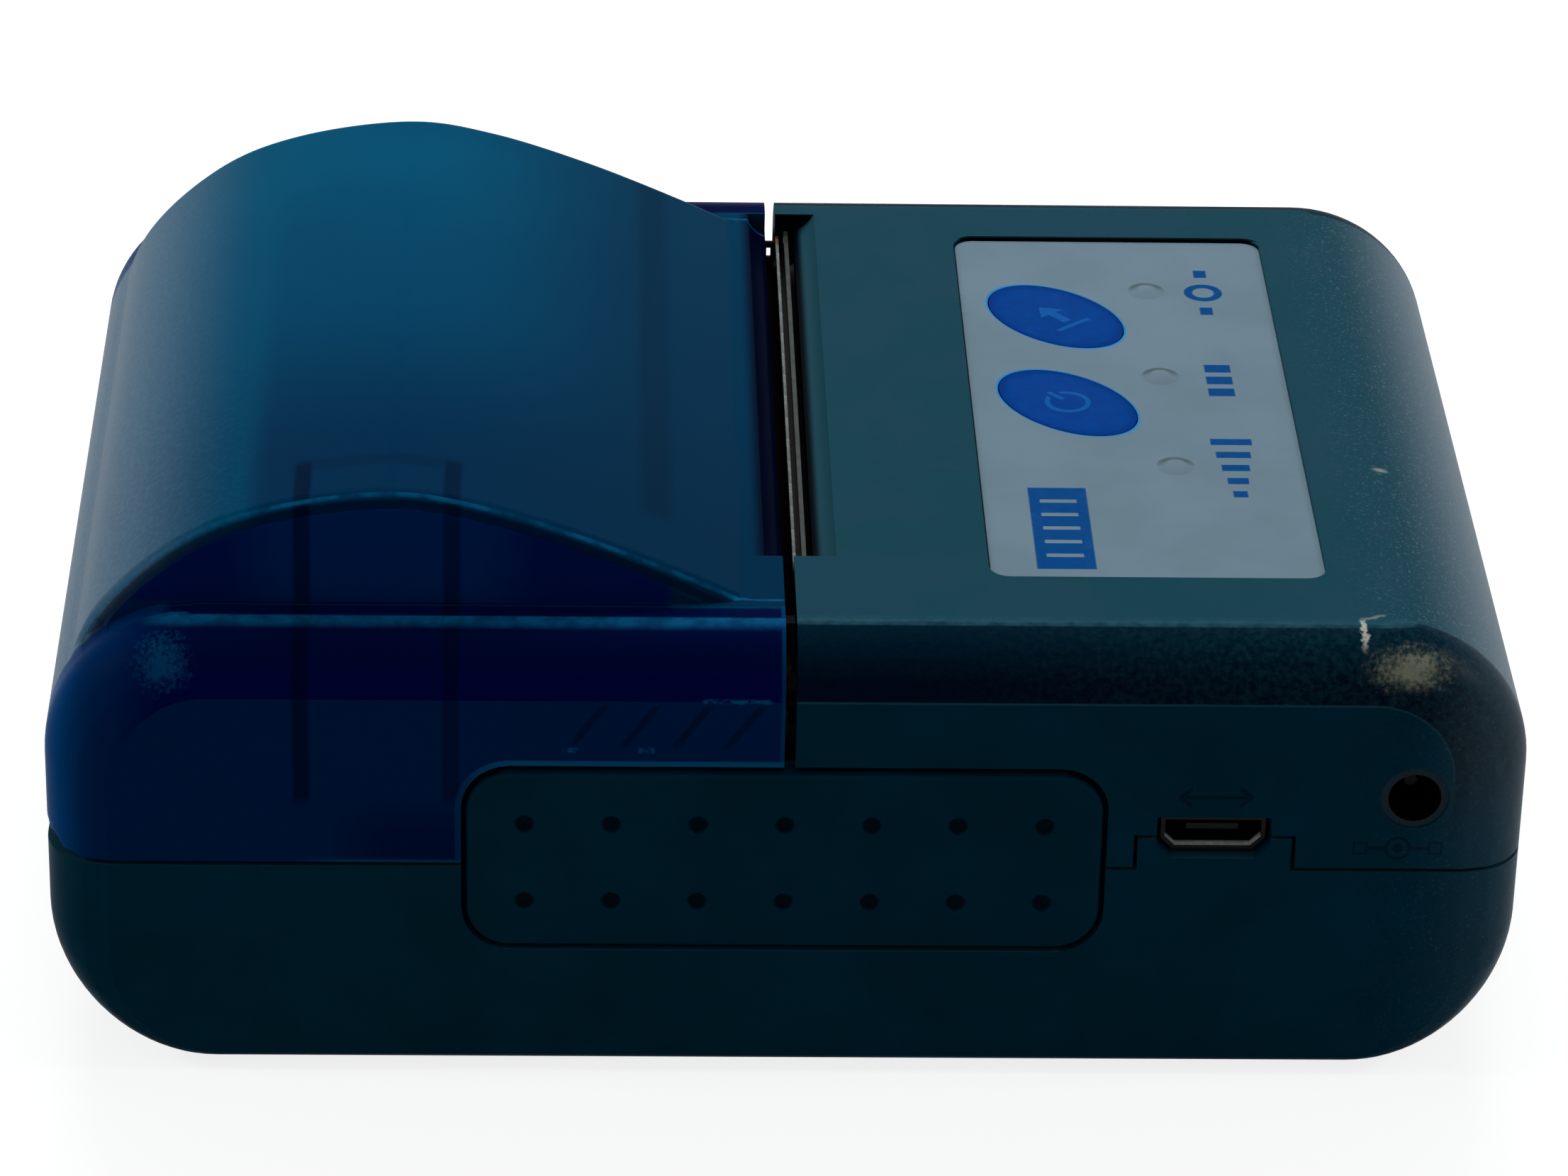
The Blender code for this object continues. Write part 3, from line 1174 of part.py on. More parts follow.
def build_frame(materials):
    """Folded chassis: side plates with a slot for each bush, paper guide, back plate, stub for the idler."""
    frame = box(
        "mechanism_frame",
        (-FRAME_LEFT, FRAME_RIGHT),
        (FRAME_OUT_NEAR, FRAME_OUT_FAR),
        (FRAME_BOTTOM, FRAME_TOP),
        materials["frame"],
    )
    inside_x = (-FRAME_LEFT - OVERRUN, FRAME_RIGHT - FRAME_PLATE)
    inside_y = (FRAME_IN_NEAR, FRAME_IN_FAR)
    guide_bottom = GUIDE_TOP - GUIDE_THICKNESS
    cut(
        frame,
        box("room_motor", inside_x, inside_y, (FRAME_BOTTOM + FRAME_PLATE, guide_bottom)),
        box("room_head", inside_x, inside_y, (GUIDE_TOP, FRAME_TOP + OVERRUN)),
    )
    hinge = (HINGE_X, HINGE_Z)
    reach = math.hypot(PLATEN_X - HINGE_X, PLATEN_Z - HINGE_Z)
    start = math.atan2(PLATEN_Z - HINGE_Z, PLATEN_X - HINGE_X)
    end = start + math.asin(PLATEN_DROP / reach)
    half = BUSH_RADIUS + FIT
    outer = arc(hinge, reach + half, start, end, CORNER_STEPS)
    inner = arc(hinge, reach - half, end, start, CORNER_STEPS)
    bottom = arc((PLATEN_X, PLATEN_Z), half, start - math.pi, start, 2 * CORNER_STEPS)
    slot = [*outer, *inner, *bottom[1:-1]]
    cut(frame, prism("slot_near", slot, "Y", FRAME_OUT_NEAR - OVERRUN, FRAME_IN_NEAR + OVERRUN))
    cut(frame, prism("slot_far", slot, "Y", FRAME_IN_FAR - OVERRUN, FRAME_OUT_FAR + OVERRUN))
    pivot = (HEAD_PIVOT_X, HEAD_PIVOT_Z)
    hole = (FRAME_OUT_NEAR - OVERRUN, FRAME_OUT_FAR + OVERRUN)
    cut(frame, cylinder("hole_trunnion", pivot, "Y", TRUNNION_RADIUS + FIT, *hole))
    motor_hole = (FRAME_OUT_NEAR - OVERRUN, FRAME_IN_NEAR + OVERRUN)
    cut(frame, cylinder("hole_motor", pinion_centre(), "Y", MOTOR_BOSS_RADIUS + FIT, *motor_hole))
    stub = (OUTER_GEAR_NEAR, FRAME_IN_NEAR - FRAME_PLATE / 2)
    add(frame, cylinder("idler_stub", idler_centre(), "Y", IDLER_STUB_RADIUS, *stub))
    for key, place in frame_screw_places().items():
        low, high = FRAME_BOTTOM - OVERRUN, FRAME_BOTTOM + FRAME_PLATE + OVERRUN
        cut(frame, post("hole_frame_" + key, place, SCREW_RADIUS + FIT, low, high))
    cable = cable_line()[0][1]
    window_y = (PAPER_OFFSET - CABLE_WIDTH / 2 - OVERRUN, PAPER_OFFSET + CABLE_WIDTH / 2 + OVERRUN)
    window_x = (FRAME_RIGHT - FRAME_PLATE - OVERRUN, FRAME_RIGHT + OVERRUN)
    cut(frame, box("window_cable", window_x, window_y, (cable - OVERRUN, cable + OVERRUN)))
    half_length, half_width = SENSOR_LENGTH / 2 + FIT, SENSOR_WIDTH / 2 + FIT
    cut(
        frame,
        box(
            "window_sensor",
            (-SENSOR_X - half_length, -SENSOR_X + half_length),
            (PAPER_OFFSET - half_width, PAPER_OFFSET + half_width),
            (guide_bottom - OVERRUN, GUIDE_TOP + OVERRUN),
        ),
    )
    return frame


def build_head(materials):
    """Heat sink with the print line facing the roller, on trunnions at its foot."""
    span = (FRAME_IN_NEAR + FRAME_CLEARANCE, FRAME_IN_FAR - FRAME_CLEARANCE)
    outline = [
        (HEAD_FACE, HEAD_BOTTOM),
        (HEAD_BACK, HEAD_BOTTOM),
        (HEAD_BACK, HEAD_TOP),
        (HEAD_FACE + HEAD_CHAMFER, HEAD_TOP),
        (HEAD_FACE, HEAD_TOP - HEAD_CHAMFER),
    ]
    head = prism("print_head", outline, "Y", *span, materials["aluminium"])
    trunnion = (FRAME_OUT_NEAR, FRAME_OUT_FAR)
    pivot = (HEAD_PIVOT_X, HEAD_PIVOT_Z)
    add(head, cylinder("trunnion", pivot, "Y", TRUNNION_RADIUS, *trunnion))
    hang_on([head], "head_axis", (HEAD_PIVOT_X, PAPER_OFFSET, HEAD_PIVOT_Z))
    return head


def spring(name, start, end, radius, curls, material):
    """A compression spring as one unbroken tube from start to end, which lie on its axis."""
    start, end = Vector(start), Vector(end)
    axis = (end - start).normalized()
    across = Vector((0, 0, 1))
    sideways = axis.cross(across)
    lead = SPRING_WIRE
    length = (end - start).length - 2 * lead
    steps = 8 * curls
    points = [start + across * radius]
    for i in range(steps + 1):
        turn = math.tau * curls * i / steps
        place = start + axis * (lead + length * i / steps)
        points.append(place + radius * (across * math.cos(turn) + sideways * math.sin(turn)))
    points.append(end + across * radius)
    least = length / curls - SPRING_WIRE
    print(f"{name}: least gap to itself {least * 1000:.2f} mm")
    curve = bpy.data.curves.new(name, "CURVE")
    curve.dimensions = "3D"
    curve.bevel_depth = SPRING_WIRE / 2
    curve.bevel_resolution = 0
    curve.use_fill_caps = True
    line = curve.splines.new("POLY")
    line.points.add(len(points) - 1)
    for point, place in zip(line.points, points):
        point.co = (*place, 1.0)
    curve.materials.append(material)
    obj = bpy.data.objects.new(name, curve)
    bpy.context.scene.collection.objects.link(obj)
    return obj


def build_head_springs(materials):
    z = PLATEN_Z
    for label, side in (("near", -1), ("far", 1)):
        y = PAPER_OFFSET + side * HEAD_SPRING_SPREAD
        start = (HEAD_BACK + FIT, y, z)
        end = (FRAME_RIGHT - FRAME_PLATE - FIT, y, z)
        spring("head_spring_" + label, start, end, HEAD_SPRING_RADIUS, HEAD_SPRING_CURLS, materials["spring"])


def build_latch_button(side, materials):
    """Dimpled plate flush with the side wall; its two inner flanges keep it from falling out."""
    label = "near" if side < 0 else "far"

    def span(first, second):
        """Depths from the side face, as places along Y."""
        return sorted((side * (WIDTH / 2 - first), side * (WIDTH / 2 - second)))

    outer = side * WIDTH / 2
    chamfer = side * (WIDTH / 2 - LATCH_EDGE)
    inner = side * LATCH_INNER
    rings = [
        lift(latch_outline(-LATCH_EDGE), "Y", outer),
        lift(latch_outline(0.0), "Y", chamfer),
        lift(latch_outline(0.0), "Y", inner),
    ]
    button = loft("latch_button_" + label, rings, materials["housing"])
    middle = (LATCH_RIGHT - LATCH_LEFT) / 2
    top_row = LATCH_HIGH - DIMPLE_DROP
    for column in range(DIMPLE_COLUMNS):
        x = middle + (column - (DIMPLE_COLUMNS - 1) / 2) * DIMPLE_PITCH
        for row in range(2):
            z = top_row - row * DIMPLE_ROW_PITCH
            profile = [
                (0.0, outer - side * DIMPLE_DEPTH),
                (DIMPLE_RADIUS * 0.7, outer - side * DIMPLE_DEPTH * 0.7),
                (DIMPLE_RADIUS, outer),
                (DIMPLE_RADIUS, outer + side * OVERRUN),
                (0.0, outer + side * OVERRUN),
            ]
            cut(button, turned(f"dimple_{label}_{column}_{row}", profile, (x, z), "Y", sides=DIMPLE_SIDES))
    flange = span(WALL + FIT, WALL + FIT + LATCH_FLANGE)
    neck = span(LATCH_PLATE / 2, WALL + FIT + LATCH_FLANGE / 2)
    low, high = LATCH_LOW - LATCH_FLANGE_LAP, LATCH_HIGH + RECESS_CLEARANCE
    beside_boss = -BOSS_RIGHT + BOSS_PLATE / 2 + FIT
    for key, end, sign in (("left", -LATCH_LEFT, 1), ("right", LATCH_RIGHT, -1)):
        root = end + sign * LATCH_FLANGE_LENGTH
        across = sorted((max(end - sign * LATCH_FLANGE_LAP, beside_boss), root))
        inside = sorted((end + sign * LATCH_FLANGE_LAP, root - sign * LATCH_FLANGE_LAP))
        stem = (LATCH_LOW + LATCH_FLANGE_LAP, LATCH_HIGH - LATCH_FLANGE_LAP)
        add(button, box(f"neck_{label}_{key}", inside, neck, stem))
        add(button, box(f"flange_{label}_{key}", across, flange, (low, high)))
    hang_on([button], f"latch_{label}_axis", (middle, outer, (LATCH_LOW + LATCH_HIGH) / 2))
    return button


def build_latch_springs(materials):
    z = PARTING_HEIGHT - BUCKET_RIM_DROP - LATCH_SPRING_RADIUS - SPRING_WIRE
    flange = WIDTH / 2 - WALL - FIT - LATCH_FLANGE - FIT
    rib = WIDTH / 2 - WALL - LATCH_RIB_STAND + FIT
    for key, x in latch_spring_x().items():
        name = "latch_spring_near_" + key
        spring(name, (x, -flange, z), (x, -rib, z), LATCH_SPRING_RADIUS, LATCH_SPRING_CURLS, materials["spring"])
    x = LATCH_SPRING_OFFSET
    spring(
        "latch_spring_far", (x, flange, z), (x, rib, z), LATCH_SPRING_RADIUS, LATCH_SPRING_CURLS, materials["spring"]
    )


def build_tear_bar(materials):
    """Thin steel strip along the slot with a row of teeth on its upper edge."""
    right = SLOT_RIB_LEFT - FIT
    teeth = int((SLOT_LENGTH - 2 * FIT) / TEAR_TOOTH_PITCH)
    start = PAPER_OFFSET - teeth * TEAR_TOOTH_PITCH / 2
    tip = HEIGHT - TEAR_BAR_TOP_DROP
    low = tip - TEAR_BAR_DEPTH
    outline = [(start, low)]
    for i in range(teeth):
        y = start + i * TEAR_TOOTH_PITCH
        outline += [(y, tip - TEAR_TOOTH_HEIGHT), (y + TEAR_TOOTH_PITCH / 2, tip)]
    end = start + teeth * TEAR_TOOTH_PITCH
    outline += [(end, tip - TEAR_TOOTH_HEIGHT), (end, low)]
    return prism("tear_bar", outline, "X", right - TEAR_BAR_THICKNESS, right, materials["steel"])


def board_outline():
    right = BOARD_RIGHT
    tab = RIGHT_END - BOARD_TAB_INSET
    tab_end = BOARD_NEAR + BOARD_TAB_LENGTH
    return [
        (BOARD_LEFT, BOARD_NEAR),
        (tab, BOARD_NEAR),
        (tab, tab_end),
        (right, tab_end),
        (right, BOARD_FAR),
        (BOARD_LEFT, BOARD_FAR),
    ]


def build_main_board(materials):
    board = prism("main_board", board_outline(), "Z", BOARD_BOTTOM, BOARD_TOP, materials["board"])
    for key, place in board_screw_places().items():
        low, high = BOARD_BOTTOM - OVERRUN, BOARD_TOP + OVERRUN
        cut(board, post("hole_board_" + key, place, SCREW_RADIUS + FIT, low, high))
    return board


def build_usb(materials):
    """Stamped shell with its contact tongue."""
    near = NEAR_SIDE + USB_RECESS
    socket = prism("usb_connector", usb_outline(0.0), "Y", near, near + USB_DEPTH, materials["steel"])
    back = near + USB_DEPTH - USB_RECESS
    cut(socket, prism("bore_usb", usb_outline(-USB_SHELL), "Y", near - OVERRUN, back))
    blade = USB_WIDTH / 4
    thickness = (USB_Z - USB_SHELL / 2, USB_Z + USB_SHELL)
    add(socket, box("usb_blade", (USB_X - blade, USB_X + blade), (near + USB_RECESS, back + USB_RECESS / 2), thickness))
    return socket


def build_jack(materials):
    """Power socket: block on the board, round nose in the wall, bore with its centre pin."""
    face = NEAR_SIDE + JACK_BODY_INSET
    half = JACK_WIDTH / 2
    centre = (JACK_X, JACK_Z)
    low, high = JACK_Z - JACK_HEIGHT / 2, JACK_Z + JACK_HEIGHT / 2
    jack = box(
        "dc_jack", (JACK_X - half, JACK_X + half), (face, face + JACK_DEPTH), (low, high), materials["component"]
    )
    nose = NEAR_SIDE + JACK_NOSE_RECESS
    bore_end = NEAR_SIDE + JACK_BORE_DEPTH
    add(jack, cylinder("jack_nose", centre, "Y", JACK_NOSE_RADIUS, nose, face + OVERRUN, sides=2 * ROUND_SIDES))
    cut(jack, cylinder("jack_bore", centre, "Y", JACK_BORE_RADIUS, nose - OVERRUN, bore_end, sides=2 * ROUND_SIDES))
    add(jack, cylinder("jack_pin", centre, "Y", JACK_PIN_RADIUS, face, bore_end + OVERRUN, sides=ROUND_SIDES // 2))
    return jack


def cable_line():
    """Middle line of the flat cable in X and Z, from the back of the head down to its socket on the board."""
    start = (HEAD_BACK + 2 * FIT, HEAD_PIVOT_Z + HEAD_PIVOT_RISE)
    end = (BOARD_LEFT + CABLE_SOCKET_MARGIN - FIT, BOARD_TOP + FIT + CABLE_SOCKET_HEIGHT / 2)
    leave = (FRAME_RIGHT + OVERRUN, start[1])
    arrive = (end[0] - CABLE_SOCKET_LENGTH, end[1])
    bend = [
        (leave[0] + (arrive[0] - leave[0]) * t, leave[1] + (arrive[1] - leave[1]) * (3 - 2 * t) * t * t)
        for t in (i / CABLE_STEPS for i in range(CABLE_STEPS + 1))
    ]
    return [start, *bend, end]


def build_cable(materials):
    line = cable_line()
    half = CABLE_THICKNESS / 2
    upper, lower = [], []
    for i, (x, z) in enumerate(line):
        before, after = line[max(i - 1, 0)], line[min(i + 1, len(line) - 1)]
        run = Vector((after[0] - before[0], after[1] - before[1])).normalized()
        upper.append((x - run.y * half, z + run.x * half))
        lower.append((x + run.y * half, z - run.x * half))
    span = (PAPER_OFFSET - CABLE_WIDTH / 2, PAPER_OFFSET + CABLE_WIDTH / 2)
    prism("head_cable", upper + lower[::-1], "Y", *span, materials["cable"])
    left = BOARD_LEFT + CABLE_SOCKET_MARGIN
    socket_y = (span[0] - CABLE_SOCKET_MARGIN, span[1] + CABLE_SOCKET_MARGIN)
    socket_z = (BOARD_TOP + FIT, BOARD_TOP + FIT + CABLE_SOCKET_HEIGHT)
    box("cable_socket", (left, left + CABLE_SOCKET_LENGTH), socket_y, socket_z, materials["nylon"])


def build_sensor(materials):
    x = (-SENSOR_X - SENSOR_LENGTH / 2, -SENSOR_X + SENSOR_LENGTH / 2)
    y = (PAPER_OFFSET - SENSOR_WIDTH / 2, PAPER_OFFSET + SENSOR_WIDTH / 2)
    top = GUIDE_TOP - FIT / 2
    return box("paper_sensor", x, y, (top - SENSOR_HEIGHT, top), materials["component"])


def build_battery(materials):
    inset = LEDGE_WIDTH + FIT
    half = DOOR_HALF_WIDTH - LEDGE_END - FIT
    outline = round_rectangle(DOOR_LEFT + inset, DOOR_RIGHT - inset, -half, half, (BATTERY_CORNER,) * 4)
    top = BOARD_BOTTOM - BATTERY_BOARD_GAP
    prism("battery_pack", outline, "Z", DOOR_THICKNESS + FIT, top, materials["battery"])
    door = prism("battery_door", door_outline(), "Z", 0.0, DOOR_THICKNESS, materials["housing"])
    for key, place in door_screw_places().items():
        cut(door, post("hole_door_" + key, place, SCREW_RADIUS + FIT, -OVERRUN, DOOR_THICKNESS + OVERRUN))
        sink_end = DOOR_SCREW_SEAT + FIT
        cut(door, post("sink_door_" + key, place, SCREW_HEAD_RADIUS + FIT, -OVERRUN, sink_end))
    return door


def screw(name, place, seat, length, up, material, head_height=SCREW_HEAD_HEIGHT):
    """A screw whose head rests on the height given and whose shank points up or down."""
    way = 1 if up else -1
    head = seat - way * head_height
    profile = [
        (0.0, head),
        (SCREW_HEAD_RADIUS, head),
        (SCREW_HEAD_RADIUS, seat),
        (SCREW_RADIUS, seat),
        (SCREW_RADIUS, seat + way * length),
        (0.0, seat + way * length),
    ]
    return turned(name, profile, place, "Z", material, sides=DIMPLE_SIDES)


def build_screws(materials):
    steel = materials["steel"]
    for key, place in case_screw_places().items():
        seat = underside_height(place[0]) + CASE_SCREW_SINK - FIT
        screw("case_screw_" + key, place, seat, CASE_SCREW_LENGTH, True, steel)
    for key, place in board_screw_places().items():
        screw("board_screw_" + key, place, BOARD_TOP + FIT, SHORT_SCREW_LENGTH - OVERRUN, False, steel)
    for key, place in frame_screw_places().items():
        seat = FRAME_BOTTOM + FRAME_PLATE + FIT
        screw("mechanism_screw_" + key, place, seat, SHORT_SCREW_LENGTH - OVERRUN, False, steel)
    for key, place in key_screw_places().items():
        seat = KEY_BOARD_TOP - KEY_BOARD_THICKNESS - FIT
        screw("key_board_screw_" + key, place, seat, SHORT_SCREW_LENGTH, True, steel)
    for key, place in door_screw_places().items():
        name = "battery_door_screw_" + key
        screw(name, place, DOOR_SCREW_SEAT, DOOR_SCREW_LENGTH, True, steel, DOOR_SCREW_HEAD_HEIGHT)


def build_hinge_pins(materials):
    for label, side in (("near", -1), ("far", 1)):
        middle = side * HINGE_EAR_OFFSET
        ends = (middle - HINGE_PIN_LENGTH / 2, middle + HINGE_PIN_LENGTH / 2)
        cylinder("hinge_pin_" + label, (HINGE_X, HINGE_Z), "Y", HINGE_PIN_RADIUS, *ends, materials["steel"])


def main():
    clear_scene()
    materials = make_materials()
    build_lower_housing(materials)
    build_upper_housing(materials)
    build_control_panel(materials)
    build_key("feed_button", KEY_FEED_Y, materials)
    build_key("power_button", KEY_POWER_Y, materials)
    build_key_board(materials)
    build_frame(materials)
    build_head(materials)
    build_head_springs(materials)
    build_motor(materials)
    build_gear_train(materials)
    build_sensor(materials)
    build_cable(materials)
    build_main_board(materials)
    build_usb(materials)
    build_jack(materials)
    build_battery(materials)
    build_tear_bar(materials)
    build_screws(materials)
    build_hinge_pins(materials)
    build_latch_springs(materials)
    for side in (-1, 1):
        build_latch_button(side, materials)
    cover = build_cover(materials)
    shaft, roller, gear, bushes = build_platen(materials)
    hinge = hang_on([cover, *bushes], "cover_axis", (HINGE_X, 0.0, HINGE_Z))
    platen = hang_on([shaft, roller, gear], "platen_axis", (PLATEN_X, PAPER_OFFSET, PLATEN_Z))
    platen.parent = hinge
    platen.location -= hinge.location


if __name__ == "__main__":
    main()
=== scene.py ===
"""Looks of the portable receipt printer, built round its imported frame.

Sizes are millimetres unless a docstring says otherwise. X runs from the hinge end to the control panel, Y
from the near side, where the sockets are, to the far side, and Z up from the resting face. Meshes are made
in millimetres and scaled to metres when they are handed to the scene.

In the finishes, a number beside x, y or z is a place on the object where a mark or a tone starts or ends,
and one beside up says how far the surface faces up there, from -1 to 1.
"""

import logging
import math
from dataclasses import dataclass
from enum import Enum
from functools import cached_property
from typing import Callable, Optional, Sequence, Union

import bmesh
import bpy
from mathutils import Matrix, Vector


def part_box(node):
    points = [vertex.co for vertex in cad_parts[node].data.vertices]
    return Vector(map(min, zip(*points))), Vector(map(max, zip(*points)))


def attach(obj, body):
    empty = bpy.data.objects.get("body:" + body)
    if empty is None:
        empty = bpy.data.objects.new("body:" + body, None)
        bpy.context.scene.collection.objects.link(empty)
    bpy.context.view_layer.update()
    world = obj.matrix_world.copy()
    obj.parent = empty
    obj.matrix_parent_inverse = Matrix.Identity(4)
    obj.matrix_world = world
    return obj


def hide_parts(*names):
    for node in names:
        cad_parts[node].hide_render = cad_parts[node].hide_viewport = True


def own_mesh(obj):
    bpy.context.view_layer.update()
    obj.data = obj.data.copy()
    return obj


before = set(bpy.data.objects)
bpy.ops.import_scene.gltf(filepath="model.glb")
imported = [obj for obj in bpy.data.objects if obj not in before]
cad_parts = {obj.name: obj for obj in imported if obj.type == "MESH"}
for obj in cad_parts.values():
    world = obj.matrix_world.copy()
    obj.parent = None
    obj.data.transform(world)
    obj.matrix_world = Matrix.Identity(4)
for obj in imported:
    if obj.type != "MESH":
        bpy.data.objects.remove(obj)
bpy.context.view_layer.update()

LOG = logging.getLogger("receipt_printer")
MM = 0.001  # a millimetre in metres
MERGED = 0.0005  # points that lie closer become one
FLAT_ANGLE = math.radians(0.3)  # faces that meet at less become one
FAR_OFF = 99.0  # stands for the distance where nothing is round

Triple = tuple[float, float, float]
Colour = Triple
Flat = tuple[float, float]
Outline = tuple[Flat, Flat, float]
Tone = Union[Colour, bpy.types.NodeSocket]
Number = Union["Value", float]


class Axis(Enum):
    """The axis that a form is turned or pushed out along."""

    X = 0
    Y = 1
    Z = 2

    def vector(self, length: float = 1.0) -> Vector:
        """A vector of this length along the axis."""
        return Vector(length if i == self.value else 0.0 for i in range(3))


class Side(Enum):
    """The near and the far side of the body, with the sign of their Y."""

    NEAR = -1.0
    FAR = 1.0

    @property
    def label(self) -> str:
        """What the names of nodes and joints call the side."""
        return self.name.lower()


class Rounding(Enum):
    """What a rounding is put on, as the bevel operator calls it."""

    CORNERS = "VERTICES"
    EDGES = "EDGES"


def linear(red: int, green: int, blue: int) -> Colour:
    """A colour of the screen, 0 to 255, as the shader's own numbers.

    Args:
        red: Red from 0 to 255.
        green: Green from 0 to 255.
        blue: Blue from 0 to 255.

    Returns:
        The same colour as three linear numbers.
    """
    shares = [part / 255 for part in (red, green, blue)]
    made = [part / 12.92 if part < 0.04045 else ((part + 0.055) / 1.055) ** 2.4 for part in shares]
    return made[0], made[1], made[2]


def shade(colour: Colour, share: float) -> Colour:
    """A colour times a share, with no part over 1."""
    red, green, blue = (min(part * share, 1.0) for part in colour)
    return red, green, blue


def only(kind: type, parts: Sequence[object]) -> list:
    """Those of an operator's parts that are of one kind: vertices, edges or faces."""
    return [part for part in parts if isinstance(part, kind)]


def rectangle(low: Flat, high: Flat) -> list[Flat]:
    """The four corners of a rectangle in order, from its lowest and highest corner."""
    return [low, (high[0], low[1]), high, (low[0], high[1])]


def quarter(steps: int) -> list[float]:
    """Angles that split a quarter turn into steps, from 0 to its end."""
    return [math.pi / 2 * i / steps for i in range(steps + 1)]


class Value:
    """A number socket that takes part in Python expressions."""

    def __init__(self, graph: "Graph", socket: bpy.types.NodeSocket) -> None:
        """Wraps a socket.

        Args:
            graph: The material's graph, which adds the Math nodes.
            socket: The output that gives the number.
        """
        self.graph = graph
        self.socket = socket

    def __add__(self, other: Number) -> "Value":
        """This number plus another."""
        return self.graph.maths("ADD", self, other)

    __radd__ = __add__

    def __sub__(self, other: Number) -> "Value":
        """This number minus another."""
        return self.graph.maths("SUBTRACT", self, other)

    def __rsub__(self, other: Number) -> "Value":
        """Another number minus this."""
        return self.graph.maths("SUBTRACT", other, self)

    def __mul__(self, other: Number) -> "Value":
        """This number times another."""
        return self.graph.maths("MULTIPLY", self, other)

    __rmul__ = __mul__

    def __truediv__(self, other: Number) -> "Value":
        """This number over another."""
        return self.graph.maths("DIVIDE", self, other)

    def __pow__(self, other: Number) -> "Value":
        """This number to a power."""
        return self.graph.maths("POWER", self, other)

    def __abs__(self) -> "Value":
        """This number without its sign."""
        return self.graph.maths("ABSOLUTE", self)

    def least(self, other: Number) -> "Value":
        """The smaller of this number and another."""
        return self.graph.maths("MINIMUM", self, other)

    def most(self, other: Number) -> "Value":
        """The larger of this number and another."""
        return self.graph.maths("MAXIMUM", self, other)

    def root(self) -> "Value":
        """The square root."""
        return self.graph.maths("SQRT", self)

    def reach(self, other: "Value") -> "Value":
        """The length of a step whose two parts are this number and another."""
        return (self**2.0 + other**2.0).root()

    def step(self, low: float, high: float) -> "Value":
        """Rises smoothly from 0 to 1.

        Args:
            low: Where the rise starts.
            high: Where the rise ends.

        Returns:
            0 before low, 1 after high.
        """
        ends = {"Value": self, "From Min": low, "From Max": high}
        node = self.graph.node("ShaderNodeMapRange", {"interpolation_type": "SMOOTHSTEP"}, ends)
        return Value(self.graph, node.outputs["Result"])

    def band(self, low: float, high: float, soft: float) -> "Value":
        """1 between two places and 0 outside them.

        Args:
            low: Middle of the rise.
            high: Middle of the fall.
            soft: Width of each.

        Returns:
            The band as a mask.
        """
        half = soft / 2
        return self.step(low - half, low + half) * (1.0 - self.step(high - half, high + half))


